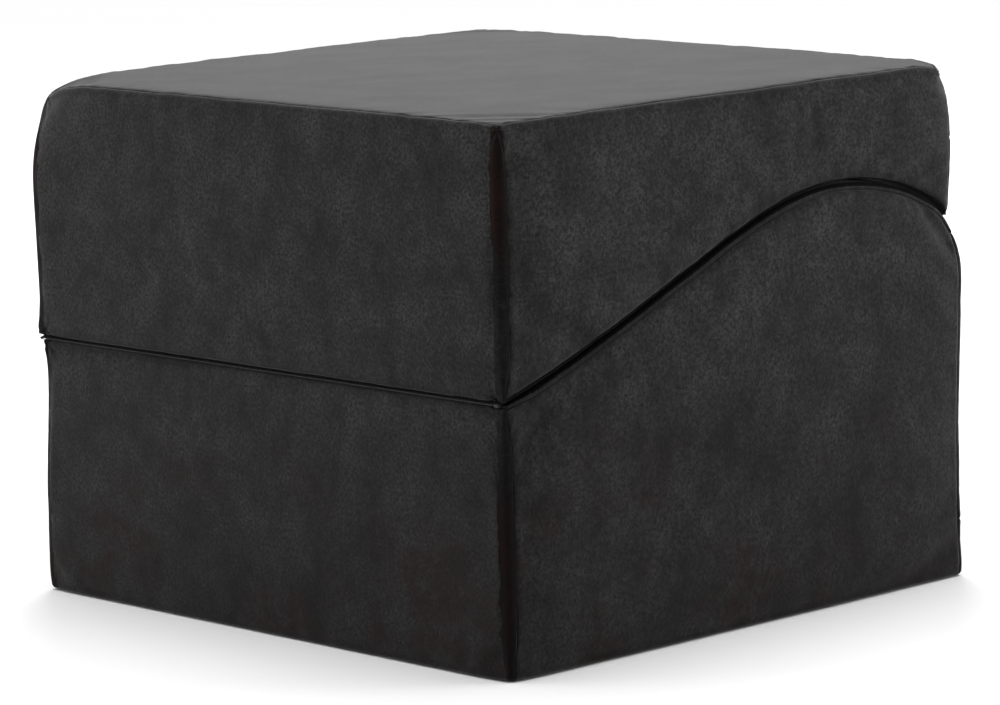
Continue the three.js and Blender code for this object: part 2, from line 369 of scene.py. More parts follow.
class Outline:
    """The four sides of a block's outline: front, back, flat and wave, as smooth lines.

    Front and back run from the flat face to the wave, flat and wave run from front to back.
    """

    TAIL = 25 * MM  # the wave's straight end, which the CAD rounds into the back face

    def __init__(self, block, inset=0.0):
        loop = side_loop(f"{block}_right_side_panel")
        self.flat_z = 0.0 if block == "lower" else HEIGHT
        self.up = 1.0 if block == "lower" else -1.0  # from the flat face towards the wave
        front, back = loop[:, 0].min(), loop[:, 0].max()
        off_flat = np.abs(loop[:, 1] - self.flat_z) > MM
        at_front = off_flat & (loop[:, 0] < front + 0.1 * MM)
        hinge = loop[at_front][0]
        wave = loop[off_flat & (loop[:, 0] >= front) & (loop[:, 0] < back - self.TAIL)]
        wave = wave[np.argsort(wave[:, 0])]
        before, last = wave[-2], wave[-1]
        slope = (last[1] - before[1]) / (last[0] - before[0])
        corner = np.array([back, last[1] + slope * (back - last[0])])
        wave = np.vstack([hinge, wave[1:], corner])
        self.wave = self.moved_in(smooth_line(wave), inset)
        flat = self.flat_z + self.up * inset
        front, back = front + inset, back - inset
        start, end = self.cut(front), self.cut(back)
        keep = (self.wave[:, 0] > front + 0.1 * MM) & (self.wave[:, 0] < back - 0.1 * MM)
        self.wave = np.vstack([[front, start], self.wave[keep], [back, end]])
        self.corners = {
            "front_flat": np.array([front, flat]),
            "front_wave": self.wave[0],
            "back_wave": self.wave[-1],
            "back_flat": np.array([back, flat]),
        }

    def moved_in(self, line, inset):
        tangent = unit(np.gradient(line, axis=0))
        outward = self.up * to_left(tangent)
        return line - inset * outward

    def cut(self, depth):
        return float(np.interp(depth, self.wave[:, 0], self.wave[:, 1]))

    def sides(self):
        """Each side's line and its outward turn: +1 if outward is to the left of the line."""
        c = self.corners
        return {
            "front": (np.array([c["front_flat"], c["front_wave"]]), self.up),
            "back": (np.array([c["back_flat"], c["back_wave"]]), -self.up),
            "flat": (np.array([c["front_flat"], c["back_flat"]]), -self.up),
            "wave": (self.wave, self.up),
        }


def smooth_line(points, step=3 * MM):
    """A smooth line through the points, with a point about every `step`."""
    run = run_along(points)
    tangent = np.gradient(points, run, axis=0)
    out = []
    for i in range(len(points) - 1):
        h = run[i + 1] - run[i]
        t = np.linspace(0, 1, max(2, int(h / step) + 1))[:-1, None]
        a, b = points[i], points[i + 1]
        ta, tb = tangent[i] * h, tangent[i + 1] * h
        out.append(
            (2 * t**3 - 3 * t**2 + 1) * a
            + (t**3 - 2 * t**2 + t) * ta
            + (3 * t**2 - 2 * t**3) * b
            + (t**3 - t**2) * tb
        )
    return np.vstack(out + [points[-1:]])


def along(line, places):
    """The points at these places along the line, and the line's length."""
    run = run_along(line)
    return np.stack([np.interp(places, run, line[:, i]) for i in range(2)], axis=1), run[-1]


# ---------------------------------------------------------------- a block's shell
class Shell:
    """A closed grid over a block, like the surface of a box of NI x NJ x NK cells.

    I runs along X, J from front to back and K from the flat face to the wave. The outer BAND
    rows of every face bend round its edges.
    """

    def __init__(self, block, inset=0.0, fine=True):
        self.block = block
        self.inset = inset
        self.outline = Outline(block, inset)
        self.half = WIDTH / 2 - inset
        self.radii()
        self.counts(fine)
        self.skeleton()
        self.lattice()
        self.quads()

    def radii(self):
        s = settings()
        lower = self.block == "lower"
        base = s.base_edge_radius if lower else s.top_edge_radius
        wave = s.crest_edge_radius if lower else s.hollow_edge_radius
        less = min(self.inset, 2 * MM)
        self.corner_radius = {
            "front_flat": base - less,
            "front_wave": s.hinge_edge_radius - less * 0.5,
            "back_wave": wave - less,
            "back_flat": base - less,
        }
        self.side_radius = {
            "front": s.edge_radius - less,
            "back": s.edge_radius - less,
            "flat": base - less,
            "wave": wave - less,
        }

    def counts(self, fine):
        c = self.outline.corners
        heights = [abs(c[f"{end}_flat"][1] - c[f"{end}_wave"][1]) for end in ("front", "back")]
        share = 1 if fine else 0.4
        self.ni = 2 * BAND + int(rows_for(2 * self.half) * share)
        self.nj = 2 * BAND + int(rows_for(BACK - FRONT) * share)
        self.nk = 2 * BAND + int(rows_for(max(heights)) * share)

    def zip_rows(self, length, start):
        """Places along the back with a row at each edge and the middle of the zip's opening."""
        count = self.nk - 2 * BAND
        middle, half = zip_place(self.block)
        centre = abs(middle - self.outline.flat_z) - self.inset - start
        below = max(4, int(round(count * centre / length)))
        return np.concatenate(
            [
                graded(centre - half, below - 1),
                [centre],
                centre + half + graded(length - centre - half, count - below - 1),
            ]
        )

    def skeleton(self):
        """The outline moved in by the edge radius, with outward directions, as a filled grid."""
        ends = {
            "front": ("front_flat", "front_wave"),
            "back": ("back_flat", "back_wave"),
            "flat": ("front_flat", "back_flat"),
            "wave": ("front_wave", "back_wave"),
        }
        turns = self.corner_turns(ends)
        self.edge = {}
        for side, (line, turn) in self.outline.sides().items():
            first, last = ends[side]
            trims = [self.corner_radius[c] * math.tan(turns[c] / 2) for c in (first, last)]
            _, length = along(line, [0])
            inner = length - sum(trims)
            count = (self.nk if side in ("front", "back") else self.nj) - 2 * BAND
            places = self.zip_rows(inner, trims[0]) if side == "back" else graded(inner, count)
            foot, _ = along(line, trims[0] + places)
            ahead, _ = along(line, np.minimum(trims[0] + places + MM, length))
            behind, _ = along(line, np.maximum(trims[0] + places - MM, 0))
            tangent = unit(ahead - behind)
            outward = turn * to_left(tangent)
            reach = 45 * MM
            near_first = 1 - smoothstep(0, reach, places)
            near_last = 1 - smoothstep(0, reach, inner - places)
            radius = (
                self.side_radius[side] * (1 - near_first - near_last)
                + self.corner_radius[first] * near_first
                + self.corner_radius[last] * near_last
            )
            self.edge[side] = (foot - radius[:, None] * outward, outward, radius)
        self.fill()

    def corner_turns(self, ends):
        """How far the outline turns at each corner."""
        direction = {}
        for side, (line, _) in self.outline.sides().items():
            first, last = ends[side]
            direction[(side, first)] = unit(line[1] - line[0])
            direction[(side, last)] = unit(line[-2] - line[-1])
        turns = {}
        for corner in self.outline.corners:
            a, b = [d for (_, c), d in direction.items() if c == corner]
            turns[corner] = math.pi - math.acos(float(np.clip(a @ b, -1, 1)))
        return turns

    def fill(self):
        """Coons patch between the four moved-in sides."""
        front, back = self.edge["front"][0], self.edge["back"][0]
        flat, wave = self.edge["flat"][0], self.edge["wave"][0]
        nj, nk = len(flat), len(front)
        for end, line in ((0, flat), (-1, wave)):
            front[end] = line[0] = (front[end] + line[0]) / 2
            back[end] = line[-1] = (back[end] + line[-1]) / 2
        deep = np.linspace(0, 1, nj)[:, None]
        high = np.linspace(0, 1, nk)[None, :]
        k = ((1 - deep) * self.shares(front) + deep * self.shares(back))[..., None]
        j = ((1 - high) * self.shares(flat)[:, None] + high * self.shares(wave)[:, None])[..., None]
        self.core = (
            (1 - j) * front[None, :, :]
            + j * back[None, :, :]
            + (1 - k) * flat[:, None, :]
            + k * wave[:, None, :]
            - (1 - j) * (1 - k) * front[0]
            - (1 - j) * k * front[-1]
            - j * (1 - k) * back[0]
            - j * k * back[-1]
        )

    @staticmethod
    def shares(line):
        run = run_along(line)
        return run / run[-1]

    def lattice(self):
        """Every surface point, in numbers (I, J, K) and in space."""
        ni, nj, nk = self.ni, self.nj, self.nk
        i, j, k = np.meshgrid(*(np.arange(n + 1) for n in (ni, nj, nk)), indexing="ij")
        on = (i == 0) | (i == ni) | (j == 0) | (j == nj) | (k == 0) | (k == nk)
        self.number = np.full(on.shape, -1)
        self.number[on] = np.arange(on.sum())
        i, j, k = i[on], j[on], k[on]
        self.ijk = np.stack([i, j, k], axis=1)
        jc = np.clip(j, BAND, nj - BAND) - BAND
        kc = np.clip(k, BAND, nk - BAND) - BAND
        a_i, a_j, a_k = (self.bend(v, n) for v, n in ((i, ni), (j, nj), (k, nk)))
        outward = np.zeros((len(i), 3))
        outward[:, 0] = a_i
        radius = np.full(len(i), self.side_radius["front"])
        for side, index, bent, chosen in (
            ("front", kc, a_j, a_j < 0),
            ("back", kc, a_j, a_j > 0),
            ("flat", jc, a_k, a_k < 0),
            ("wave", jc, a_k, a_k > 0),
        ):
            _, normal, r = self.edge[side]
            at = index[chosen]
            outward[chosen, 1:] += np.abs(bent[chosen])[:, None] * normal[at]
            radius[chosen] = r[at]
        spread = self.across(ni - 2 * BAND)
        x_share = spread[np.clip(i, BAND, ni - BAND) - BAND]
        core = np.empty((len(i), 3))
        core[:, 0] = x_share * (self.half - radius)
        core[:, 1:] = self.core[jc, kc]
        self.points = core + radius[:, None] * unit(outward)

    def across(self, count):
        """Places across the width, as shares from -1 to 1, closer together at both ends."""
        width = 2 * (self.half - self.side_radius["front"])
        places = graded(width, count) - width / 2
        return places / (width / 2)

    @staticmethod
    def bend(index, count):
        """How far a point leans towards the low (-) or high (+) face: 1 on the face itself."""
        low = np.clip((BAND - index) / BAND, 0, 1)
        high = np.clip((index - count + BAND) / BAND, 0, 1)
        return np.tan(high * math.pi / 4) - np.tan(low * math.pi / 4)

    def quads(self):
        """All faces, and the panel that each belongs to."""
        ni, nj, nk = self.ni, self.nj, self.nk
        quads = []
        for axis, value in ((0, 0), (0, ni), (1, 0), (1, nj), (2, 0), (2, nk)):
            plane = np.take(self.number, value, axis=axis)
            a, b = plane[:-1, :-1], plane[1:, :-1]
            c, d = plane[1:, 1:], plane[:-1, 1:]
            face = np.stack([a, b, c, d], axis=-1).reshape(-1, 4)
            if (value > 0) == (axis == 1):
                face = face[:, ::-1]
            quads.append(face)
        self.faces = turned_out(self.points, np.vstack(quads))
        centre = self.ijk[self.faces].mean(axis=1)
        self.panels = self.panel_names(centre)

    def panel_names(self, centre):
        """The cover panel of each face, by where the face lies on the grid."""
        ni, nj, nk = self.ni, self.nj, self.nk
        i, j, k = centre.T
        on_left, on_right = i < 0.1, i > ni - 0.1
        on_side = on_left | on_right
        near_front, near_back = j < BAND, j > nj - BAND
        near_wave = k > nk - BAND
        zip_row = self.nearest_zip_row()
        is_low = (k < zip_row) == (self.block == "lower")
        back_name = np.where(is_low, "back_panel_low", "back_panel_high")
        names = np.where(on_left, "left_side_panel", "right_side_panel").astype(object)
        names[~on_side] = "wave_panel"
        is_back = near_back & ~near_wave
        names[is_back] = back_name[is_back]
        names[near_wave & ~near_front] = "wave_panel"
        names[near_front] = "front_panel"
        flat = k < 0.1
        middle = flat & (i > BAND) & (i < ni - BAND) & (j > BAND) & (j < nj - BAND)
        rim = flat & ~middle & ~near_front & ~near_back
        names[rim & (i < BAND)] = "left_side_panel"
        names[rim & (i > ni - BAND)] = "right_side_panel"
        names[middle] = "base_panel" if self.block == "lower" else "top_panel"
        row = np.abs(k - zip_row) < 1
        x = self.points[self.faces][:, :, 0].mean(axis=1)
        names[is_back & ~on_side & row & (np.abs(x) < ZIP_END)] = OPENING
        return names.astype(str)

    def nearest_zip_row(self):
        """The K row on the zip's middle line."""
        middle, _ = zip_place(self.block)
        heights = self.edge["back"][0][:, 1]
        return BAND + int(np.abs(heights - middle).argmin())

    def seams(self):
        """Edges where two panels meet, as pairs of points, and which of them hem the zip."""
        a, b = self.faces, np.roll(self.faces, -1, axis=1)
        pairs = np.stack([np.minimum(a, b), np.maximum(a, b)], axis=-1).reshape(-1, 2)
        order = np.lexsort((pairs[:, 1], pairs[:, 0]))
        names = np.repeat(self.panels, 4)[order]
        one, other = names[::2], names[1::2]
        meet = one != other
        hem = (one == OPENING) | (other == OPENING)
        return pairs[order][::2][meet], hem[meet]

    def normals(self, points):
        """Outward directions of the surface at its points."""
        a, b, c, d = (points[self.faces[:, n]] for n in range(4))
        across = np.cross(c - a, d - b)
        total = np.zeros_like(points)
        for n in range(4):
            np.add.at(total, self.faces[:, n], across)
        return unit(total)

    def share_of(self, *names):
        """How much of the surface round each point belongs to these panels, from 0 to 1."""
        belongs = np.isin(self.panels, names).astype(float)
        total, count = np.zeros(len(self.points)), np.zeros(len(self.points))
        for n in range(4):
            np.add.at(total, self.faces[:, n], belongs)
            np.add.at(count, self.faces[:, n], 1)
        return total / count

    def corners(self):
        """Numbers of the points at all eight corners."""
        ends = ("front", "back")
        return [self.corner(s, e, f) for s in (-1, 1) for e in ends for f in ("flat", "wave")]

    def corner(self, side, end, face):
        """Number of the point at a corner. side is -1 for left and 1 for right."""
        i = 0 if side < 0 else self.ni
        j = 0 if end == "front" else self.nj
        k = 0 if face == "flat" else self.nk
        return self.number[i, j, k]


def signed_volume(points, quads):
    a, b, c, d = (points[quads[:, n]] for n in range(4))
    return float((np.cross(b - a, c - a) * a).sum() + (np.cross(c - a, d - a) * a).sum())


def zip_place(block):
    """Height of the zip's middle line, and half of the opening between the back panels."""
    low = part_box(f"{block}_back_panel_low")[1].z
    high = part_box(f"{block}_back_panel_high")[0].z
    return (low + high) / 2, (high - low) / 2


# ---------------------------------------------------------------- soft shape of a block
def pressed(shell):
    """The shell's points after cloth simulation: blown up a little inside its drawn-in seams."""
    scene = bpy.context.scene
    obj = new_object(f"{shell.block}_cover_pressed", shell.points, shell.faces)
    seam = np.unique(shell.seams()[0]).tolist()
    drawn_in = obj.vertex_groups.new(name="drawn_in")
    drawn_in.add(seam, 1.0, "REPLACE")
    held = obj.vertex_groups.new(name="held")
    held.add(list(range(len(shell.points))), 0.12, "REPLACE")
    held.add(seam, 0.6, "REPLACE")
    modifier = obj.modifiers.new("press", "CLOTH")
    cloth = modifier.settings
    cloth.quality = 4
    cloth.mass = 0.3
    cloth.tension_stiffness = 20
    cloth.compression_stiffness = 10
    cloth.shear_stiffness = 5
    cloth.bending_stiffness = 2
    cloth.use_pressure = True
    cloth.uniform_pressure_force = 4
    cloth.effector_weights.gravity = 0
    cloth.vertex_group_mass = held.name
    cloth.pin_stiffness = 1
    cloth.vertex_group_shrink = drawn_in.name
    cloth.shrink_min = 0
    cloth.shrink_max = 0.05
    modifier.point_cache.frame_start = 1
    modifier.point_cache.frame_end = SIM_FRAMES
    for step in range(1, SIM_FRAMES + 1):
        scene.frame_set(step)
    evaluated = obj.evaluated_get(bpy.context.evaluated_depsgraph_get())
    points = get_points(evaluated.data)
    mesh = obj.data
    bpy.data.objects.remove(obj)
    bpy.data.meshes.remove(mesh)
    scene.frame_set(1)
    if len(points) != len(shell.points) or not np.isfinite(points).all():
        raise RuntimeError(f"the {shell.block} cover's simulation failed")
    return points


SINK = 0.8 * MM  # how far the drawn-in seams may sink into the foam
FLAT_SWELL = 0.3 * MM  # how far the wave and the base may swell
FRONT_SWELL = 1 * MM
TOP_SWELL = 2 * MM
MOST_SLIDE = 2 * MM  # how far cloth may slide along a face


def swollen(shell):
    """The cover's points once the foam has filled it out, flat where it lies on something."""
    crown = settings().crown
    points = pressed(shell)
    moved = points - shell.points
    normal = shell.normals(shell.points)
    outward = (moved * normal).sum(axis=1)
    along_face = moved - outward[:, None] * normal
    limit = np.full(len(points), crown)
    for share, most in (
        (shell.share_of("wave_panel", "base_panel"), FLAT_SWELL),
        (shell.share_of("front_panel"), FRONT_SWELL),
        (shell.share_of("top_panel"), TOP_SWELL),
    ):
        limit = (1 - share) * limit + share * most
    middle, half = zip_place(shell.block)
    on_back = shell.share_of("back_panel_low", "back_panel_high", OPENING)
    near_zip = 1 - smoothstep(2.5 * half, 90 * MM, np.abs(shell.points[:, 2] - middle))
    limit *= 1 - 0.97 * on_back * near_zip
    limit = np.where(outward < 0, np.minimum(limit, SINK), limit)
    outward = limit * np.tanh(outward / limit)
    size = np.linalg.norm(along_face, axis=1)
    slide = MOST_SLIDE * np.tanh(size / MOST_SLIDE) / np.maximum(size, 1e-9)
    slide *= 1 - on_back * near_zip
    moved = outward[:, None] * normal + slide[:, None] * along_face
    if shell.block == "lower":
        moved[:, 2] *= smoothstep(0.5 * MM, 12 * MM, shell.points[:, 2])
    return shell.points + moved


# How far each corner of the foam gives under the tight cover: side, end, face, pull, reach
CORNERS = {
    "upper": (
        (-1, "front", "flat", 27 * MM, 125 * MM),
        (1, "front", "flat", 4 * MM, 55 * MM),
        (1, "back", "flat", 15 * MM, 70 * MM),
        (-1, "back", "flat", 2 * MM, 60 * MM),
        (1, "back", "wave", 3 * MM, 40 * MM),
        (-1, "back", "wave", 3 * MM, 40 * MM),
    ),
    "lower": (
        (-1, "front", "flat", 5 * MM, 50 * MM),
        (1, "front", "flat", 8 * MM, 60 * MM),
        (-1, "back", "flat", 3 * MM, 45 * MM),
        (1, "back", "flat", 2 * MM, 40 * MM),
        (1, "back", "wave", 6 * MM, 70 * MM),
        (-1, "back", "wave", 6 * MM, 70 * MM),
    ),
}
# How far the upright edges give: block, side, end, pull, reach
UPRIGHT_EDGES = (
    ("upper", 1, "back", 10 * MM, 40 * MM),
    ("upper", -1, "back", 7 * MM, 40 * MM),
    ("lower", -1, "back", 3 * MM, 36 * MM),
)
BACK_TOP_PULL = Vector((0, -7 * MM, -4.5 * MM))  # the lower block's worn edge at the back
BACK_TOP_REACH = 52 * MM
LEAN = 4.5 * MM  # how far the front's left edges lean
LOWER_BULGE = 7 * MM  # the lower back is fuller below the wave's end
BULGE_HEIGHTS = (0.16, 0.36, 0.37, 0.43)  # where the bulge starts, is full, and ends again
UPPER_TUCK = 5 * MM  # how far the upper back is drawn in above the wave's end
TUCK_HEIGHTS = (0.445, 0.51)  # fully drawn in below the first, not at all above the second


def give(offsets, reach):
    """How much the foam gives: 1 at the worn place itself, and nothing beyond its reach."""
    return np.clip(1 - np.linalg.norm(offsets, axis=1) / reach, 0, 1) ** 2


def settled(shell, points):
    """The points once use has softened the foam: corners give, and the blocks lean a little."""
    out = points.copy()
    for side, end, face, pull, reach in CORNERS[shell.block]:
        corner = points[shell.corner(side, end, face)]
        up = 1 if (face == "flat") == (shell.block == "lower") else -1
        inward = unit(np.array([-side, 1 if end == "front" else -1, up], float))
        if shell.block == "lower" and face == "flat":
            inward[2] *= 0.25
        out += (pull * give(points - corner, reach))[:, None] * inward
    for block, side, end, pull, reach in UPRIGHT_EDGES:
        if block == shell.block:
            edge = np.array([side * WIDTH / 2, FRONT if end == "front" else BACK])
            inward = unit(np.array([-side, 1 if end == "front" else -1], float))
            out[:, :2] += (pull * give(points[:, :2] - edge, reach))[:, None] * inward
    x, y, z = points.T
    at_left = smoothstep(0.02, -WIDTH / 2, x)
    at_front = smoothstep(0, FRONT, y)
    if shell.block == "lower":
        corner = shell.outline.corners["back_wave"]
        out += give(points[:, 1:] - corner, BACK_TOP_REACH)[:, None] * np.array(BACK_TOP_PULL)
        start, full, still_full, end = BULGE_HEIGHTS
        bulge = smoothstep(start, full, z) * (1 - smoothstep(still_full, end, z))
        out[:, 1] += LOWER_BULGE * bulge * smoothstep(0.2, BACK, y)
        sunk = 1.3 * smoothstep(0.05, HINGE_LINE.z, z) - 0.3
        into = np.maximum(sunk, 0)
        out[:, 1] += LEAN * into * at_left * at_front * smoothstep(0, 30 * MM, z)
        out[:, 0] += LEAN * sunk * at_front * smoothstep(-0.3, -WIDTH / 2, x)
    else:
        rise = (z - HINGE_LINE.z) / (HEIGHT - HINGE_LINE.z)
        lean = smoothstep(0.05, 0.65, rise) * (1 - 0.6 * smoothstep(0.65, 1, rise))
        out[:, 0] -= LEAN * lean * at_front * smoothstep(-0.2, -WIDTH / 2, x)
        low = 1 - smoothstep(*TUCK_HEIGHTS, z)
        out[:, 1] -= UPPER_TUCK * low * smoothstep(0.3, BACK, y)
    return out


class SeamField:
    """Finds the nearest seam for any point of a block's cover."""

    PARTS = 4  # samples on each seam edge

    def __init__(self, shell, points):
        edges, self.hem = shell.seams()
        a, b = points[edges[:, 0]][:, None], points[edges[:, 1]][:, None]
        share = ((np.arange(self.PARTS) + 0.5) / self.PARTS)[None, :, None]
        self.places = (a + (b - a) * share).reshape(-1, 3)
        normal = shell.normals(points)
        self.normals = np.repeat(unit(normal[edges].mean(axis=1)), self.PARTS, axis=0)
        self.directions = np.repeat(unit((b - a)[:, 0]), self.PARTS, axis=0)
        self.hem = np.repeat(self.hem, self.PARTS)
        self.tree = KDTree(len(self.places))
        for n, place in enumerate(self.places):
            self.tree.insert(place, n)
        self.tree.balance()

    def nearest(self, points):
        found = [self.tree.find(p)[1:] for p in points]
        return np.array([f[0] for f in found]), np.array([f[1] for f in found])


SEAM_WANDER = ((1.5 * MM, 70 * MM, 3), (0.6 * MM, 28 * MM, 4))  # height, size, seed
WANDER_REACH = 14 * MM  # how far from a seam the cloth follows it


def wandering(shell, points):
    """The points slid along the surface, so that the seams wander as hand-guided seams do."""
    field = SeamField(shell, points)
    nearest, distance = field.nearest(points)
    across = unit(np.cross(shell.normals(points), field.directions[nearest]))
    place = field.places[nearest]
    shift = waves(place, SEAM_WANDER)
    shift *= np.exp(-((distance / WANDER_REACH) ** 2)) * ~field.hem[nearest]
    for corner in shell.corners():
        shift *= smoothstep(8 * MM, 40 * MM, np.linalg.norm(points - points[corner], axis=1))
    if shell.block == "lower":
        shift *= smoothstep(10 * MM, 30 * MM, points[:, 2])
    return points + shift[:, None] * across


# ---------------------------------------------------------------- cover panels
class Gather:
    """A dimple with small folds round it, where seams meet or stitches end."""

    def __init__(self, place, depth, reach, folds, turn):
        self.place, self.depth, self.reach = np.array(place), depth, reach
        self.folds, self.turn = folds, turn

    def height(self, points):
        away = points - self.place
        distance = np.linalg.norm(away, axis=1)
        angle = np.arctan2(away[:, 2], away[:, 0] + 0.7 * away[:, 1])
        ring = smoothstep(0, 0.2 * self.reach, distance) * np.exp(-((distance / self.reach) ** 2))
        dip = np.exp(-((distance / (0.35 * self.reach)) ** 2))
        return self.depth * (0.45 * np.cos(self.folds * angle + self.turn) * ring - dip)


def gathers(shell, points):
    """The gathers of a block: at the ends of the hinge and at its corners."""
    away = -9 * MM if shell.block == "lower" else 9 * MM
    found = []
    for side in (-1, 1):
        place = (side * (WIDTH / 2 - 17 * MM), FRONT, HINGE_LINE.z + away)
        found.append(Gather(place, 2.2 * MM, 17 * MM, 5, side))
    if shell.block == "upper":
        for side in (-1, 1):
            for end, face, depth, reach in (
                ("front", "flat", 1.6 * MM, 34 * MM),
                ("back", "flat", 1.6 * MM, 30 * MM),
                ("back", "wave", 2.4 * MM, 24 * MM),
            ):
                place = points[shell.corner(side, end, face)]
                found.append(Gather(place, depth, reach, 6, side + 2))
    return found


GROOVE_WIDTH = 2.2 * MM
LIP, LIP_AWAY, LIP_WIDTH = 0.2 * MM, 7 * MM, 4 * MM  # the cloth rises a little beside the groove
# Puckers along a seam: size, seed, how far from the seam they reach
FINE_PUCKERS = (6.5 * MM, 11, 6 * MM)
BROAD_PUCKERS = (24 * MM, 12, 19 * MM)
UNEVEN = ((0.6 * MM, 130 * MM, 5), (0.25 * MM, 48 * MM, 6))  # height, size, seed


def puckers(seam, distance, size, seed, reach):
    return value_noise(seam, size, seed) * np.exp(-distance / reach)


def relief(shell, spots, points, seam, distance):
    """Height of the cover's surface over its smooth shape: seam grooves, puckers and gathers."""
    s = settings()
    height = -s.seam_depth * np.exp(-((distance / GROOVE_WIDTH) ** 2))
    height += LIP * np.exp(-(((distance - LIP_AWAY) / LIP_WIDTH) ** 2))
    fine = puckers(seam, distance, *FINE_PUCKERS)
    broad = puckers(seam, distance, *BROAD_PUCKERS)
    height += s.pucker * smoothstep(0, 2.5 * MM, distance) * (fine + 1.5 * broad)
    height += waves(points, UNEVEN)
    for spot in spots:
        height += spot.height(points)
    if shell.block == "lower":
        height *= smoothstep(0, 6 * MM, points[:, 2])
    return height


def nap_of(panel, points):
    """Where each point lies in the panel's cloth: across the nap, along it, and the panel's own."""
    x, y, z = points.T
    own = np.full(len(points), sum(map(ord, panel)) % 17 * 0.31)
    if "side" in panel:
        return np.stack([y, z, own], axis=1)
    if "front" in panel or "back" in panel:
        return np.stack([x, z, own], axis=1)
    return np.stack([x, y, own], axis=1)


def quads_of(mesh):
    corners = np.empty(len(mesh.loops), np.int32)
    mesh.loops.foreach_get("vertex_index", corners)
    return corners.reshape(-1, 4)


def rim_edges(faces):
    """Directed edges that only one face has."""
    a, b = faces.ravel(), np.roll(faces, -1, axis=1).ravel()
    key = np.minimum(a, b).astype(np.int64) * (int(faces.max()) + 1) + np.maximum(a, b)
    _, first, count = np.unique(key, return_index=True, return_counts=True)
    once = first[count == 1]
    return np.stack([a[once], b[once]], axis=1)


# How the pile lies on a face of a cover, and where shade is painted on it, as the number of its
# material
STANDING, PRESSED_AND_SHADED, SHADED = 0, 1, 2
PRESSED_AND_SHADED_REACH = 1 * MM  # pile is pressed flat this near a seam, and darkened there as painted shade
GAP_REACH = 10 * MM  # and, as painted shade, this far into the gap between the blocks
SHADED_REACH = 20 * MM  # beyond that the darker shaded copy paints shade, this far into the gap
CREST_STRIP = 4.5 * MM  # pile stands on this strip of the lower block's rounded edge in the gap
SHADED_WIDTH = 14 * MM  # painted shade: the darker shaded copy covers the front this near its upright edges
SHADED_RAGGED = ((3 * MM, 11 * MM, 21), (3 * MM, 60 * MM, 22))  # height, size, seed
# How far each row of the turned-in allowance lies back from the seam and below the cover
SEAM_ALLOWANCE = ((0.12 * MM, 0.3 * MM), (0.1 * MM, 1.2 * MM), (0.1 * MM, 3.2 * MM))


def with_allowance(points, normal, faces):
    """The panel with its seam allowance turned in along its whole rim."""
    rim = rim_edges(faces)
    side = np.cross(normal[rim].sum(axis=1), points[rim[:, 1]] - points[rim[:, 0]])
    inward = np.zeros_like(points)
    for n in range(2):
        np.add.at(inward, rim[:, n], unit(side))
    on_rim = np.unique(rim)
    place, inward, down = points[on_rim], unit(inward[on_rim]), normal[on_rim]
    rows = [points.copy()]
    back, depth = SEAM_ALLOWANCE[0]
    rows[0][on_rim] = place + back * inward - depth * down
    turned = [faces]
    above = np.arange(len(points))
    total = len(points)
    for back, depth in SEAM_ALLOWANCE[1:]:
        rows.append(place + back * inward - depth * down)
        below = np.full(len(points), -1)
        below[on_rim] = total + np.arange(len(on_rim))
        a, b = rim.T
        turned.append(np.stack([above[b], above[a], below[a], below[b]], axis=1))
        above = below
        total += len(on_rim)
    return np.vstack(rows), np.vstack(turned), np.concatenate([np.arange(len(points))] + 2 * [on_rim])


def pile_and_shade(block, panel, centre, distance):
    """How the pile lies on each face, and where shade is painted on it, from the face's middle and its
    distance from a seam.
    """
    look = np.full(len(centre), STANDING)
    if panel == "front_panel":
        ragged = waves(centre, SHADED_RAGGED)
        look[np.abs(centre[:, 0]) > WIDTH / 2 - SHADED_WIDTH + ragged] = SHADED
    if panel == "wave_panel":
        clear = CREST_STRIP if block == "lower" else 0
        look[distance < SHADED_REACH] = SHADED
        look[distance < GAP_REACH] = PRESSED_AND_SHADED
        look[distance < clear] = STANDING
    look[distance < PRESSED_AND_SHADED_REACH] = PRESSED_AND_SHADED
    return look


MOST_RELIEF = {"wave_panel": 0.2 * MM, "front_panel": 0.3 * MM}  # where two faces meet


def make_panel(shell, points, field, spots, panel):
    """One velvet panel: smooth shape, then relief at twice the grid, then its allowance."""
    used, faces = np.unique(shell.faces[shell.panels == panel], return_inverse=True)
    rough = new_object("rough_panel", points[used], faces.reshape(-1, 4))
    mesh = subdivided(rough).data
    smooth, normal, quads = get_points(mesh), get_normals(mesh), quads_of(mesh)
    bpy.data.objects.remove(rough)
    nearest, distance = field.nearest(smooth)
    height = relief(shell, spots, smooth, field.places[nearest], distance)
    height = np.minimum(height, MOST_RELIEF.get(panel, math.inf))
    vertices, all_faces, source = with_allowance(smooth + height[:, None] * normal, normal, quads)
    name = f"{shell.block}_{panel.replace('_panel', '')}_cover"
    obj = new_object(name, vertices, all_faces)
    set_values(obj.data, "seam", distance[source])
    set_vectors(obj.data, "nap", nap_of(panel, smooth)[source])
    look = pile_and_shade(shell.block, panel, smooth[quads].mean(axis=1), distance[quads].mean(axis=1))
    turned_in = np.full(len(all_faces) - len(quads), PRESSED_AND_SHADED)
    return obj, np.concatenate([look, turned_in])


def dress(obj, body, material, slot, *nodes):
    """Gives a piece its material and its body, and hides the CAD nodes it stands for. slot is not used.
    """
    obj.data.materials.clear()
    obj.data.materials.append(material)
    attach(obj, body)
    if nodes:
        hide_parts(*nodes)
    return obj


def panel_nodes(block):
    return [n for n in frame["nodes"] if n.startswith(f"{block}_") and "_panel" in n]


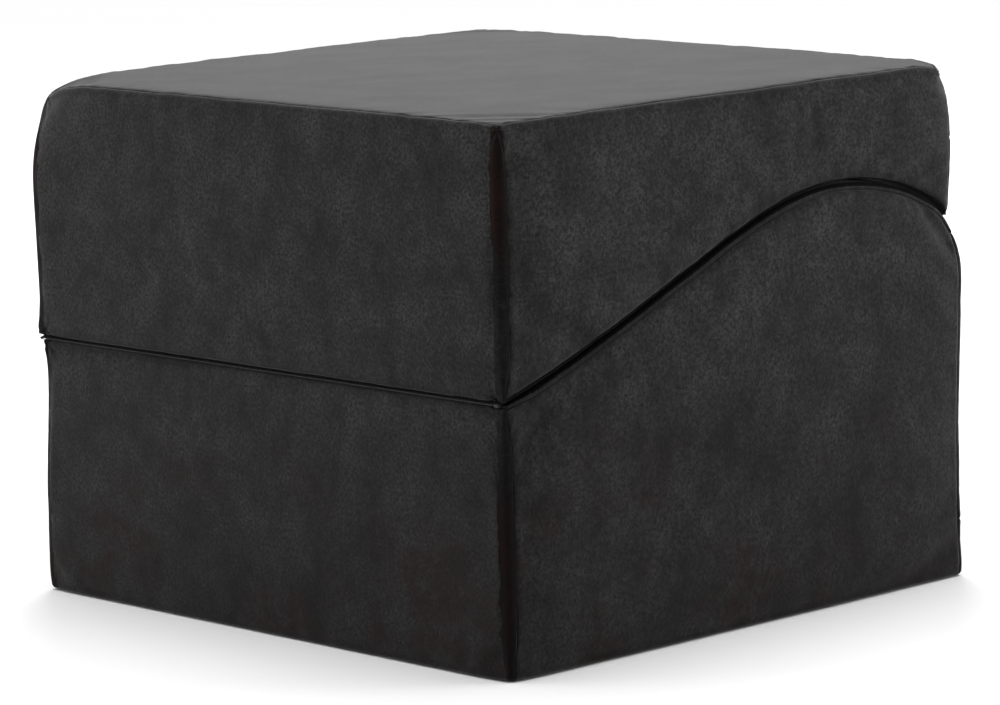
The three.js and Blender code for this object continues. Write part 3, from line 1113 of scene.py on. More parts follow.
def make_cover(block):
    """All the panels of one block's cover, and the stitches in its seams."""
    shell = Shell(block)
    points = wandering(shell, settled(shell, swollen(shell)))
    field = SeamField(shell, points)
    spots = gathers(shell, points)
    for node in panel_nodes(block):
        panel = node.removeprefix(f"{block}_")
        obj, look = make_panel(shell, points, field, spots, panel)
        if panel == "base_panel":
            dress(obj, BODY[block], grip_cloth(), "grip_cloth", node)
        else:
            dress(obj, BODY[block], velvet(), "velvet", node)
            obj.data.materials.append(pressed_velvet())
            obj.data.materials.append(rubbed_velvet())
            obj.data.polygons.foreach_set("material_index", look.astype(np.int32))
    sewn = ~field.hem
    places, normals = field.places[sewn], field.normals[sewn]
    height = relief(shell, spots, places, places, np.zeros(len(places))) + 0.1 * MM
    places = places + height[:, None] * normals
    vertices, faces = stitches(places, field.directions[sewn], normals, 1.1 * MM, 0.22 * MM)
    obj = new_object(f"{block}_seam_stitches", vertices, faces)
    dress(obj, BODY[block], thread(), "velvet")


def stitches(places, along_seam, up, half_length, radius):
    """Short thread dashes at the places: pointed at both ends, round in the middle."""
    across = unit(np.cross(up, along_seam))
    rings = []
    for share, size in ((-1.0, 0.35), (-0.55, 1.0), (0.55, 1.0), (1.0, 0.35)):
        sink = -0.6 * radius if abs(share) == 1 else 0
        middle = places + half_length * share * along_seam + sink * up
        for turn in range(4):
            angle = math.pi / 2 * turn
            out = math.cos(angle) * across + math.sin(angle) * up
            rings.append(middle + radius * size * out)
    return np.stack(rings, axis=1).reshape(-1, 3), bars(len(places))


def bars(count):
    """Faces of short closed bars, each of four rings of four points."""
    one = []
    for ring in range(3):
        for turn in range(4):
            a, b = 4 * ring + turn, 4 * ring + (turn + 1) % 4
            one.append((a, b, b + 4, a + 4))
    one += [(3, 2, 1, 0), (12, 13, 14, 15)]
    return ((np.arange(count) * 16)[:, None, None] + np.array(one)[None]).reshape(-1, 4)


# ---------------------------------------------------------------- foam and liners
FOAM_INSET = 7 * MM  # from the outline of the block
LINER_INSET = 4.8 * MM


def make_foam(block):
    shell = Shell(block, inset=FOAM_INSET, fine=False)
    obj = new_object(f"{block}_foam_block", settled(shell, shell.points), shell.faces)
    dress(obj, BODY[block], foam(), "foam", f"{block}_foam_core")


def make_liner(block):
    """The thin knitted bag between foam and cover, open behind the zip."""
    shell = Shell(block, inset=LINER_INSET, fine=False)
    points = settled(shell, shell.points)
    creases = 0.25 * MM * value_noise(points, 30 * MM, 8)
    points = points + creases[:, None] * shell.normals(points)
    used, faces = np.unique(shell.faces[shell.panels != OPENING], return_inverse=True)
    obj = new_object(f"{block}_liner_bag", points[used], faces.reshape(-1, 4))
    modifier = obj.modifiers.new("cloth thickness", "SOLIDIFY")
    modifier.thickness = 0.6 * MM
    modifier.offset = -1
    applied(obj)
    dress(obj, BODY[block], liner_tricot(), "liner_tricot", f"{block}_liner")


# ---------------------------------------------------------------- fabric hinge
HINGE_WIDTH = 798 * MM
HINGE_OFFSET = 1 * MM  # each layer's middle from the parting line
HINGE_DEPTH = 34 * MM


def parting_line():
    """Middle line of the gap between the blocks, from the front inwards, and its upward normal."""
    lower, upper = Outline("lower").wave, Outline("upper").wave
    depth = np.linspace(FRONT, FRONT + HINGE_DEPTH, 24)
    heights = [np.interp(depth, line[:, 0], line[:, 1]) for line in (lower, upper)]
    line = np.stack([depth, np.mean(heights, axis=0)], axis=1)
    tangent = unit(np.gradient(line, axis=0))
    return line, to_left(tangent)


def hinge_path(radius):
    """Cross-section of the folded hinge strip at this distance from the parting line."""
    line, normal = parting_line()
    lower = (line - radius * normal)[::-1]
    upper = line + radius * normal
    turns = np.linspace(0, math.pi, 11)[1:-1, None]
    forward = np.array([-normal[0][1], normal[0][0]])
    fold = line[0] - radius * np.cos(turns) * normal[0] + radius * np.sin(turns) * forward
    return np.vstack([lower, fold, upper])


def ribbon(path, places_x, thickness):
    """A strip swept along X: path is (depth, height), with its thickness to its left side."""
    tangent = unit(np.gradient(path, axis=0))
    outline = np.vstack([path, (path + thickness * to_left(tangent))[::-1]])
    count = len(outline)
    x = np.repeat(np.asarray(places_x), count)
    section = np.tile(outline, (len(places_x), 1))
    vertices = np.column_stack([x, section])
    a = np.arange(count)
    b = (a + 1) % count
    faces = []
    for n in range(len(places_x) - 1):
        low, high = n * count, (n + 1) * count
        faces.append(np.stack([low + a, high + a, high + b, low + b], axis=1))
    for n, flip in ((0, False), (len(places_x) - 1, True)):
        i = np.arange(len(path) - 1)
        cap = np.stack([i, i + 1, count - 2 - i, count - 1 - i], axis=1) + n * count
        faces.append(cap[:, ::-1] if flip else cap)
    return vertices, np.vstack(faces)


def across_hinge(obj):
    """Puts the piece's placement into its mesh."""
    line, _ = parting_line()
    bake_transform(obj)


def make_hinge():
    places = np.linspace(-HINGE_WIDTH / 2, HINGE_WIDTH / 2, 134)
    vertices, faces = ribbon(hinge_path(HINGE_OFFSET - 0.5 * MM), places, -1 * MM)
    frill = 0.18 * MM * value_noise(vertices * np.array([1, 0.2, 0.2]), 5 * MM, 9)
    front = smoothstep(FRONT + 1 * MM, FRONT - 0.5 * MM, vertices[:, 1])
    vertices[:, 1] -= frill * front
    obj = new_object("fabric_hinge", vertices, turned_out(vertices, faces))
    obj.data.materials.append(hinge_tape())
    across_hinge(obj)
    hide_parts("lower_hinge_leaf", "upper_hinge_leaf")
    make_bar_tacks()


def make_bar_tacks():
    """Dense little rows of pale stitches over the fold at each end of the hinge."""
    path = hinge_path(HINGE_OFFSET + 0.65 * MM)
    middle = len(path) // 2
    around = path[middle - 4 : middle + 5]
    along_path = unit(np.gradient(around, axis=0))
    outward = -to_left(along_path)
    places, directions, ups = [], [], []
    for side in (-1, 1):
        for n in range(7):
            x = side * (HINGE_WIDTH / 2 - 3 * MM - n * 0.8 * MM)
            for place, direction, up in zip(around, along_path, outward):
                places.append((x, *place))
                directions.append((0, *direction))
                ups.append((0, *up))
    vertices, faces = stitches(
        np.array(places), np.array(directions), np.array(ups), 0.45 * MM, 0.24 * MM
    )
    obj = new_object("hinge_bar_tacks", vertices, faces)
    obj.data.materials.append(pale_thread())
    across_hinge(obj)


# ---------------------------------------------------------------- zips
TOOTH_PITCH = 1.4 * MM
TOPSTITCH_END = 385 * MM
TOPSTITCH_PITCH = 3.2 * MM
TOPSTITCH_AWAY = 4 * MM  # from the edge of the zip's opening


def beveled(obj, width):
    modifier = obj.modifiers.new("worn edges", "BEVEL")
    modifier.width = width
    modifier.segments = 3
    modifier.limit_method = "ANGLE"
    modifier.harden_normals = True
    return obj


def make_tape(block, edge):
    """A woven zip tape, slightly wavy."""
    low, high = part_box(f"{block}_zip_tape_{edge}")
    end = WIDTH / 2 - 14 * MM
    middle, _ = zip_place(block)
    sign = 1 if edge == "high" else -1
    inner, outer = sorted((low.z, high.z), key=lambda z: abs(z - middle))
    x = np.linspace(-end, end, 190)
    rows = np.linspace(inner, outer, 8)
    path = np.stack([np.full(8, high.y), rows], axis=1)
    vertices, faces = ribbon(path, x, sign * (high.y - low.y))
    vertices[:, 1] += 0.08 * MM * value_noise(vertices, 14 * MM, 13)
    obj = new_object(f"{block}_zip_ribbon_{edge}", vertices, turned_out(vertices, faces))
    dress(obj, BODY[block], zip_tape(), "zip_tape", f"{block}_zip_tape_{edge}")


def make_teeth(block, edge):
    """One side of the nylon coil: a row of small bars that widen towards the middle."""
    low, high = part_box(f"{block}_zip_teeth_{edge}")
    middle, _ = zip_place(block)
    inner, outer = sorted((low.z, high.z), key=lambda z: abs(z - middle))
    count = int((high.x - low.x) / TOOTH_PITCH)
    x = low.x + (np.arange(count) + 0.5) * (high.x - low.x) / count
    if edge == "high":
        x = x + 0.5 * TOOTH_PITCH * (np.arange(count) < count - 1)
    half, depth = 0.42 * MM, high.y - low.y
    ring = []
    for z, y_low, y_high, size in (
        (outer, low.y, high.y - 0.25 * depth, 0.8),
        (0.35 * inner + 0.65 * outer, low.y, high.y, 1.0),
        (0.75 * inner + 0.25 * outer, low.y, high.y, 1.0),
        (inner, low.y + 0.2 * depth, high.y - 0.3 * depth, 1.15),
    ):
        ring += [(-half * size, y_low, z), (half * size, y_low, z)]
        ring += [(half * size, y_high, z), (-half * size, y_high, z)]
    ring = np.array(ring)
    vertices = np.tile(ring, (count, 1))
    vertices[:, 0] += np.repeat(x, len(ring))
    faces = turned_out(vertices, bars(count))
    obj = new_object(f"{block}_zip_coil_{edge}", vertices, faces, smooth=False)
    dress(obj, BODY[block], zip_nylon(), "zip_nylon", f"{block}_zip_teeth_{edge}")


def make_hem_stitches(block):
    """Topstitching beside the zip on both back panels."""
    middle, half = zip_place(block)
    x = np.arange(-TOPSTITCH_END, TOPSTITCH_END + 0.1 * MM, TOPSTITCH_PITCH)
    places = []
    for sign in (-1, 1):
        z = middle + sign * (half + TOPSTITCH_AWAY)
        places += [(v, BACK + 0.1 * MM, z) for v in x]
    places = np.array(places)
    along_x = np.tile([1.0, 0, 0], (len(places), 1))
    out = np.tile([0, 1.0, 0], (len(places), 1))
    vertices, faces = stitches(places, along_x, out, 1.2 * MM, 0.3 * MM)
    obj = new_object(f"{block}_zip_topstitching", vertices, faces)
    dress(obj, BODY[block], thread(), "velvet")


def make_zips():
    for block in BLOCKS:
        for edge in ("low", "high"):
            make_tape(block, edge)
            make_teeth(block, edge)
        make_hem_stitches(block)
        for part, width in (
            ("zip_stop_left", 0.5 * MM),
            ("zip_stop_right", 0.5 * MM),
            ("zip_slider", 0.6 * MM),
            ("zip_pull", 0.35 * MM),
        ):
            node = beveled(frame["nodes"][f"{block}_{part}"], width)
            for material_slot in node.material_slots:
                material_slot.material = zip_metal()


# ---------------------------------------------------------------- materials
class Tree:
    """Short ways to place and link nodes in one node tree."""

    def __init__(self, tree):
        self.tree = tree

    def add(self, kind, inputs=None, **facts):
        node = self.tree.nodes.new(kind)
        for name, value in facts.items():
            setattr(node, name, value)
        for key, value in (inputs or {}).items():
            self.put(node.inputs[key], value)
        return node

    def put(self, socket, value):
        if isinstance(value, bpy.types.NodeSocket):
            self.tree.links.new(value, socket)
        else:
            socket.default_value = value

    def math(self, operation, a, b=0.0):
        return self.add("ShaderNodeMath", {0: a, 1: b}, operation=operation).outputs[0]

    def scaled(self, vector, scale):
        node = self.add("ShaderNodeVectorMath", {0: vector, 1: scale}, operation="MULTIPLY")
        return node.outputs[0]

    def noise(self, vector, detail=2.0, roughness=0.5):
        facts = {"Vector": vector, "Scale": 1.0, "Detail": detail, "Roughness": roughness}
        return self.add("ShaderNodeTexNoise", facts).outputs[0]

    def between(self, value, low, high, to_low=0.0, to_high=1.0):
        facts = {"Value": value, "From Min": low, "From Max": high}
        facts |= {"To Min": to_low, "To Max": to_high}
        return self.add("ShaderNodeMapRange", facts).outputs[0]

    def mixed(self, share, a, b, kind="MIX"):
        node = self.add("ShaderNodeMix", data_type="RGBA", blend_type=kind)
        for socket, value in zip((node.inputs[0], node.inputs[6], node.inputs[7]), (share, a, b)):
            self.put(socket, value)
        return node.outputs[2]

    def attribute(self, name):
        return self.add("ShaderNodeAttribute", attribute_name=name)

    def place(self):
        """Where the shaded spot is on the piece, in metres."""
        return self.add("ShaderNodeTexCoord").outputs["Object"]

    def filled(self, tree, inputs):
        """A node group with its inputs filled in."""
        node = self.tree.nodes.new("ShaderNodeGroup")
        node.node_tree = tree
        for key, value in inputs.items():
            self.put(node.inputs[key], value)
        return node


def made_group(name, inputs, outputs, wire):
    """The node group of that name, with these sockets, wired the first time it is asked for."""
    group = bpy.data.node_groups.get(name)
    if group is None:
        group = bpy.data.node_groups.new(name, "ShaderNodeTree")
        for direction, sockets in (("INPUT", inputs), ("OUTPUT", outputs)):
            for label, kind in sockets:
                group.interface.new_socket(label, in_out=direction, socket_type=f"NodeSocket{kind}")
        tree = Tree(group)
        wire(tree, tree.add("NodeGroupInput").outputs, tree.add("NodeGroupOutput").inputs)
    return group


def cloudiness():
    """Soft uneven patches: Mask is 0 to 1, with patches about Size across."""

    def wire(tree, given, out):
        scale = tree.math("DIVIDE", 1.0, given["Size"])
        place = tree.add("ShaderNodeVectorMath", {0: given["Place"], 3: scale}, operation="SCALE")
        value = tree.noise(place.outputs[0], detail=3.0, roughness=0.6)
        low = tree.math("SUBTRACT", 0.5, given["Spread"])
        high = tree.math("ADD", 0.5, given["Spread"])
        tree.put(out["Mask"], tree.between(value, low, high))

    inputs = (("Place", "Vector"), ("Size", "Float"), ("Spread", "Float"))
    outputs = (("Mask", "Float"),)
    return made_group("cloudiness", inputs, outputs, wire)


def velvet_pile():
    """The nap of a short velvet: fine streaks along it, speckle, and brushed patches."""

    def wire(tree, given, out):
        streaks = tree.noise(tree.scaled(given["Nap"], (250, 240, 1)), detail=3.0, roughness=0.6)
        speckle = tree.noise(tree.scaled(given["Nap"], (270, 260, 1)), detail=5.0, roughness=0.85)
        brushed = tree.noise(tree.scaled(given["Nap"], (15, 12, 1)), detail=9.0, roughness=0.8)
        tree.put(out["Streaks"], streaks)
        tree.put(out["Speckle"], speckle)
        tree.put(out["Brushed"], tree.between(brushed, 0.36, 0.66))
        coarse = tree.math("MULTIPLY", streaks, 0.6)
        tree.put(out["Height"], tree.math("ADD", coarse, tree.math("MULTIPLY", speckle, 0.4)))

    inputs = (("Nap", "Vector"),)
    outputs = [(label, "Float") for label in ("Streaks", "Speckle", "Brushed", "Height")]
    return made_group("velvet_pile", inputs, outputs, wire)


def seam_wear():
    """Crushed pile beside a seam, and painted shade in its groove, by distance from the seam."""

    def wire(tree, given, out):
        tree.put(out["Groove"], tree.between(given["Distance"], 0.6 * MM, 3 * MM, 1.0, 0.0))
        uneven = tree.noise(tree.scaled(given["Place"], (160, 160, 160)), detail=2.0)
        reach = tree.between(uneven, 0.3, 0.7, 5 * MM, 20 * MM)
        share = tree.math("DIVIDE", given["Distance"], reach)
        tree.put(out["Crushed"], tree.between(share, 0.2, 1.0, 1.0, 0.0))

    inputs = (("Distance", "Float"), ("Place", "Vector"))
    outputs = (("Groove", "Float"), ("Crushed", "Float"))
    return made_group("seam_wear", inputs, outputs, wire)


def weave():
    """Plain weave: threads over and under each other, at a pitch, across and along."""

    def wire(tree, given, out):
        turn = tree.math("DIVIDE", math.pi, given["Pitch"])
        warp = tree.math("SINE", tree.math("MULTIPLY", given["Across"], turn))
        weft = tree.math("SINE", tree.math("MULTIPLY", given["Along"], turn))
        over = tree.math("GREATER_THAN", tree.math("MULTIPLY", warp, weft), 0.0)
        a, b = tree.math("ABSOLUTE", warp), tree.math("ABSOLUTE", weft)
        swing = tree.math("MULTIPLY", over, tree.math("SUBTRACT", a, b))
        tree.put(out["Height"], tree.math("ADD", b, swing))
        tree.put(out["Over"], over)

    inputs = [(label, "Float") for label in ("Across", "Along", "Pitch")]
    outputs = (("Height", "Float"), ("Over", "Float"))
    return made_group("weave", inputs, outputs, wire)


def made(name, paint):
    """The material of that name, painted the first time it is asked for."""
    material = bpy.data.materials.get(name)
    if material is None:
        material = bpy.data.materials.new(name)
        material.use_nodes = True
        tree = Tree(material.node_tree)
        material.node_tree.nodes.clear()
        shader = tree.add("ShaderNodeBsdfPrincipled")
        tree.add("ShaderNodeOutputMaterial", {"Surface": shader.outputs[0]})
        paint(tree, shader.inputs)
    return material


def bumped(tree, surface, height, distance, strength=1.0):
    facts = {"Height": height, "Distance": distance, "Strength": strength}
    tree.put(surface["Normal"], tree.add("ShaderNodeBump", facts).outputs[0])


def rgba(colour, times=1.0):
    return (*(c * times for c in colour), 1.0)


def velvet_paint(share, warmth, sheen):
    """Paints velvet. share dims its colour, which paints shade on the darker shaded copy, sheen is the
    bloom of its standing pile.

    warmth is how warm its colour turns near both ends of the upright edges.
    """

    def paint(tree, surface):
        c = colours()
        nap = tree.attribute("nap").outputs["Vector"]
        distance = tree.attribute("seam").outputs["Fac"]
        pile = tree.filled(velvet_pile(), {"Nap": nap}).outputs
        wear_and_shade = tree.filled(seam_wear(), {"Distance": distance, "Place": tree.place()}).outputs
        clouds = {"Place": nap, "Size": 110 * MM, "Spread": 0.14}
        warm = tree.filled(cloudiness(), clouds).outputs["Mask"]
        height = tree.add("ShaderNodeSeparateXYZ", {0: tree.place()}).outputs["Z"]
        low = tree.between(height, 0.05, 0.3, 1.0, 0.1)
        dark = tree.between(pile["Brushed"], 0.3, 0.75, 1.0, 0.0)
        warm = tree.between(warm, 0.35, 1.0)
        warm = tree.math("MULTIPLY", tree.math("MULTIPLY", warm, low), dark)
        warm = tree.math("MAXIMUM", warm, tree.math("MULTIPLY", wear_and_shade["Crushed"], 0.15))
        from_middle = tree.math("ABSOLUTE", tree.math("SUBTRACT", height, 0.34))
        warm = tree.math("MAXIMUM", warm, tree.between(from_middle, 0.1, 0.16, 0.0, warmth))
        colour = tree.mixed(warm, rgba(c.velvet, share), rgba(c.velvet_warm, share))
        brushed = tree.between(pile["Brushed"], 0.0, 1.0, 0.3, 1.55)
        grain = tree.math("ADD", tree.math("MULTIPLY", pile["Streaks"], 0.5), pile["Speckle"])
        fine = tree.between(grain, 0.61, 0.89, 0.1, 1.9)
        shade = tree.math("MULTIPLY", brushed, fine)
        # Painted shade: the base colour darkens in the seam's groove.
        shade = tree.math("MULTIPLY", shade, tree.between(wear_and_shade["Groove"], 0.0, 1.0, 1.0, 0.4))
        shade = tree.math("MULTIPLY", shade, tree.between(wear_and_shade["Crushed"], 0.0, 1.0, 1.0, 0.65))
        # Painted shade: the base colour darkens towards the floor.
        shade = tree.math("MULTIPLY", shade, tree.between(height, 0.02, 0.4, 0.55, 1.0))
        tree.put(surface["Base Color"], tree.mixed(1.0, colour, shade, "MULTIPLY"))
        rough = tree.between(pile["Speckle"], 0.3, 0.7, 0.78, 0.95)
        tree.put(surface["Roughness"], rough)
        surface["Specular IOR Level"].default_value = 0.12
        surface["Sheen Weight"].default_value = sheen
        surface["Sheen Roughness"].default_value = 0.41
        surface["Sheen Tint"].default_value = (1.0, 1.0, 1.0, 1.0)
        bumped(tree, surface, pile["Height"], 1.4 * MM, 0.5)

    return paint


def velvet():
    return made("short_velvet", velvet_paint(1.0, 0.0, 0.24))


def rubbed_velvet():
    """A darker, warmer copy of the velvet with less bloom: painted shade on the front's upright edges
    and in the gap between the blocks.
    """
    return made("rubbed_velvet", velvet_paint(0.4, 1.0, 0.07))


def pressed_velvet():
    """Velvet pressed flat in a seam, and painted shade in the seams and the gap between the blocks: the
    same pile, much darker and without its bloom.
    """

    def paint(tree, surface):
        c = colours()
        pile = tree.filled(velvet_pile(), {"Nap": tree.attribute("nap").outputs["Vector"]}).outputs
        # Painted shade: the colour is cut to a small share of the velvet's.
        shade = tree.between(pile["Streaks"], 0.3, 0.7, 0.08, 0.3)
        warm = tree.between(pile["Brushed"], 0.0, 0.5, 0.5, 0.0)
        colour = tree.mixed(warm, rgba(c.velvet), rgba(c.velvet_warm))
        tree.put(surface["Base Color"], tree.mixed(1.0, colour, shade, "MULTIPLY"))
        tree.put(surface["Roughness"], tree.between(pile["Speckle"], 0.3, 0.7, 0.85, 1.0))
        surface["Specular IOR Level"].default_value = 0.05
        surface["Sheen Weight"].default_value = 0.01
        bumped(tree, surface, pile["Height"], 1.0 * MM, 0.4)

    return made("pressed_velvet", paint)


def grip_cloth():
    def paint(tree, surface):
        place = tree.add("ShaderNodeSeparateXYZ", {0: tree.place()}).outputs
        facts = {"Across": place["X"], "Along": place["Y"], "Pitch": 0.9 * MM}
        threads = tree.filled(weave(), facts).outputs
        turn = math.pi / (7 * MM)
        dot = tree.math(
            "MULTIPLY",
            tree.math("SINE", tree.math("MULTIPLY", place["X"], turn)),
            tree.math("SINE", tree.math("MULTIPLY", place["Y"], turn)),
        )
        dots = tree.between(dot, 0.55, 0.68)
        dirt = tree.filled(cloudiness(), {"Place": tree.place(), "Size": 90 * MM, "Spread": 0.2})
        cloth = tree.mixed(threads["Over"], rgba((0.011, 0.011, 0.012)), rgba((0.017, 0.017, 0.018)))
        soiled = tree.math("MULTIPLY", dirt.outputs[0], 0.35)
        cloth = tree.mixed(soiled, cloth, rgba((0.035, 0.033, 0.03)))
        tree.put(surface["Base Color"], tree.mixed(dots, cloth, rgba((0.006, 0.006, 0.006))))
        tree.put(surface["Roughness"], tree.between(dots, 0.0, 1.0, 0.88, 0.5))
        height = tree.math("ADD", tree.math("MULTIPLY", threads["Height"], 0.25), dots)
        bumped(tree, surface, height, 0.8 * MM, 0.8)

    return made("woven_grip_cloth", paint)


def liner_tricot():
    def paint(tree, surface):
        place = tree.place()
        ribs = tree.noise(tree.scaled(place, (1400, 900, 260)), detail=2.0)
        creases = tree.filled(cloudiness(), {"Place": place, "Size": 25 * MM, "Spread": 0.22})
        mask = tree.math("MULTIPLY", creases.outputs[0], 0.5)
        # Painted shade: the creases mask darkens the knit in soft patches.
        colour = tree.mixed(mask, rgba((0.68, 0.67, 0.63)), rgba((0.55, 0.54, 0.5)))
        tree.put(surface["Base Color"], colour)
        tree.put(surface["Roughness"], tree.between(ribs, 0.3, 0.7, 0.72, 0.9))
        surface["Sheen Weight"].default_value = 0.15
        bumped(tree, surface, ribs, 0.5 * MM, 0.6)

    return made("knitted_tricot", paint)


def foam():
    def paint(tree, surface):
        place = tree.place()
        cells, large = (
            tree.add("ShaderNodeTexVoronoi", {"Vector": place, "Scale": scale}).outputs["Distance"]
            for scale in (620.0, 170.0)
        )
        pores = tree.between(tree.math("MULTIPLY", cells, large), 0.02, 0.22)
        yellowed = tree.filled(cloudiness(), {"Place": place, "Size": 120 * MM, "Spread": 0.2})
        c = colours().foam
        aged = rgba((c[0] * 0.95, c[1] * 0.88, c[2] * 0.72))
        colour = tree.mixed(yellowed.outputs[0], rgba(c), aged)
        # Painted shade: the colour darkens to 0.6 of the foam's in the hollows of the pores.
        tree.put(surface["Base Color"], tree.mixed(pores, rgba(c, 0.6), colour))
        tree.put(surface["Roughness"], tree.between(pores, 0.0, 1.0, 1.0, 0.85))
        bumped(tree, surface, pores, 0.8 * MM, 0.7)

    return made("open_cell_foam", paint)


def woven(name, pitch, dark, light, roughness, sheen):
    """A dark woven tape: its threads run along X and round the other way."""

    def paint(tree, surface):
        place = tree.add("ShaderNodeSeparateXYZ", {0: tree.place()}).outputs
        down = tree.math("ADD", place["Y"], place["Z"])
        facts = {"Across": place["X"], "Along": down, "Pitch": pitch}
        threads = tree.filled(weave(), facts).outputs
        fibres = tree.noise(tree.scaled(tree.place(), (1500, 1500, 1500)), detail=2.0)
        patches = tree.filled(cloudiness(), {"Place": tree.place(), "Size": 30 * MM, "Spread": 0.2})
        # Painted shade: the colour darkens where the threads dip between each other.
        colour = tree.mixed(threads["Height"], rgba(dark), rgba(light))
        worn = tree.math("MULTIPLY", patches.outputs[0], 0.3)
        tree.put(surface["Base Color"], tree.mixed(worn, colour, rgba(light, 1.6)))
        tree.put(surface["Roughness"], tree.between(fibres, 0.3, 0.7, roughness - 0.1, roughness + 0.1))
        surface["Sheen Weight"].default_value = sheen
        surface["Specular IOR Level"].default_value = 0.25
        height = tree.math("ADD", threads["Height"], tree.math("MULTIPLY", fibres, 0.3))
        bumped(tree, surface, height, 0.4 * MM, 0.9)

    return made(name, paint)


def hinge_tape():
    return woven("woven_hinge", 0.8 * MM, (0.004, 0.003, 0.003), (0.016, 0.011, 0.011), 0.85, 0.15)


def zip_tape():
    return woven("woven_zip_tape", 0.6 * MM, (0.004, 0.004, 0.004), (0.014, 0.014, 0.014), 0.75, 0.1)


def twisted(name, dark, light):
    """Sewing thread: plies twisted round each other, with loose fibres."""

    def paint(tree, surface):
        place = tree.place()
        facts = {"Vector": place, "Scale": 900.0}
        plies = tree.add("ShaderNodeTexWave", facts, bands_direction="DIAGONAL")
        fibres = tree.noise(tree.scaled(place, (2500, 2500, 2500)), detail=2.0)
        share = tree.math("MULTIPLY", plies.outputs["Fac"], fibres)
        tree.put(surface["Base Color"], tree.mixed(share, rgba(light), rgba(dark)))
        tree.put(surface["Roughness"], tree.between(fibres, 0.3, 0.7, 0.75, 0.95))
        surface["Specular IOR Level"].default_value = 0.15
        bumped(tree, surface, plies.outputs["Fac"], 0.15 * MM, 0.7)

    return made(name, paint)


def thread():
    return twisted("black_thread", (0.004, 0.003, 0.003), (0.018, 0.012, 0.012))


def pale_thread():
    c = colours().thread
    return twisted("pale_thread", tuple(v * 0.5 for v in c), tuple(c))


def zip_nylon():
    def paint(tree, surface):
        place = tree.place()
        scuffs = tree.noise(tree.scaled(place, (300, 900, 900)), detail=4.0, roughness=0.7)
        dull = tree.filled(cloudiness(), {"Place": place, "Size": 40 * MM, "Spread": 0.2}).outputs[0]
        mask = tree.between(scuffs, 0.5, 0.75)
        colour = tree.mixed(mask, rgba((0.008, 0.008, 0.008)), rgba((0.03, 0.03, 0.03)))
        tree.put(surface["Base Color"], colour)
        tree.put(surface["Roughness"], tree.between(dull, 0.0, 1.0, 0.32, 0.5))
        bumped(tree, surface, scuffs, 0.15 * MM, 0.4)

    return made("nylon_coil", paint)


def zip_metal():
    def paint(tree, surface):
        place = tree.place()
        chips = tree.noise(tree.scaled(place, (260, 260, 260)), detail=6.0, roughness=0.75)
        scratches = tree.noise(tree.scaled(place, (150, 1200, 1200)), detail=3.0)
        bare = tree.between(chips, 0.64, 0.7)
        colour = tree.mixed(bare, rgba((0.018, 0.018, 0.019)), rgba((0.3, 0.29, 0.28)))
        tree.put(surface["Base Color"], colour)
        tree.put(surface["Metallic"], tree.between(bare, 0.0, 1.0, 0.35, 1.0))
        tree.put(surface["Roughness"], tree.between(scratches, 0.3, 0.7, 0.26, 0.46))
        bumped(tree, surface, scratches, 0.1 * MM, 0.25)

    return made("black_zinc", paint)


def floor_paint():
    def paint(tree, surface):
        place = tree.place()
        uneven = tree.filled(cloudiness(), {"Place": place, "Size": 1.4, "Spread": 0.3}).outputs[0]
        floor = bpy.context.scene.ottoman_stage.floor
        tree.put(surface["Base Color"], tree.mixed(uneven, rgba(floor), rgba(floor, 0.985)))
        tree.put(surface["Roughness"], tree.between(uneven, 0.0, 1.0, 0.85, 0.95))
        surface["Specular IOR Level"].default_value = 0.1

    return made("pale_floor", paint)


# ---------------------------------------------------------------- stage
AZIMUTH, ELEVATION, ROLL = 46.26, 9.15, -1.51  # degrees
DISTANCE = 6.0
LOOK_AT = Vector((0, 0, 281 * MM))
LOOK_RIGHT = 2.5 * MM  # how far the middle of the view lies to the right of that point
LENS = 180  # on a 36 mm wide sensor

# name, place, size, power
SOFTBOXES = (
    ("left_softbox", (-3.2, -3.4, 1.5), 2.2, 62.0),
    ("right_softbox", (3.4, 3.2, 1.5), 2.2, 84.0),
    ("back_softbox", (-3.4, 3.3, 3.0), 2.2, 140.0),
)
OVERHEAD = 3.15  # light falling on the floor from above
OVERHEAD_SPREAD = 50  # degrees
AMBIENT = 0.2


def make_camera():
    azimuth, elevation, roll = (math.radians(v) for v in (AZIMUTH, ELEVATION, ROLL))
    flat = math.cos(elevation)
    back = Vector((math.sin(azimuth) * flat, -math.cos(azimuth) * flat, math.sin(elevation)))
    level = (-back).cross(Vector((0, 0, 1))).normalized()
    upright = level.cross(-back)
    right = level * math.cos(roll) + upright * math.sin(roll)
    up = upright * math.cos(roll) - level * math.sin(roll)
    data = bpy.data.cameras.new("camera")
    data.lens = LENS
    data.sensor_width = 36
    data.clip_end = 200
    data.dof.use_dof = False
    camera = bpy.data.objects.new("camera", data)
    turn = Matrix((right, up, back)).transposed().to_4x4()
    camera.matrix_world = Matrix.Translation(LOOK_AT + level * LOOK_RIGHT + back * DISTANCE) @ turn
    bpy.context.scene.collection.objects.link(camera)
    bpy.context.scene.camera = camera


def placed_light(name, kind, place, energy):
    data = bpy.data.lights.new(name, kind)
    data.energy = energy
    light = bpy.data.objects.new(name, data)
    light.location = place
    bpy.context.scene.collection.objects.link(light)
    return light


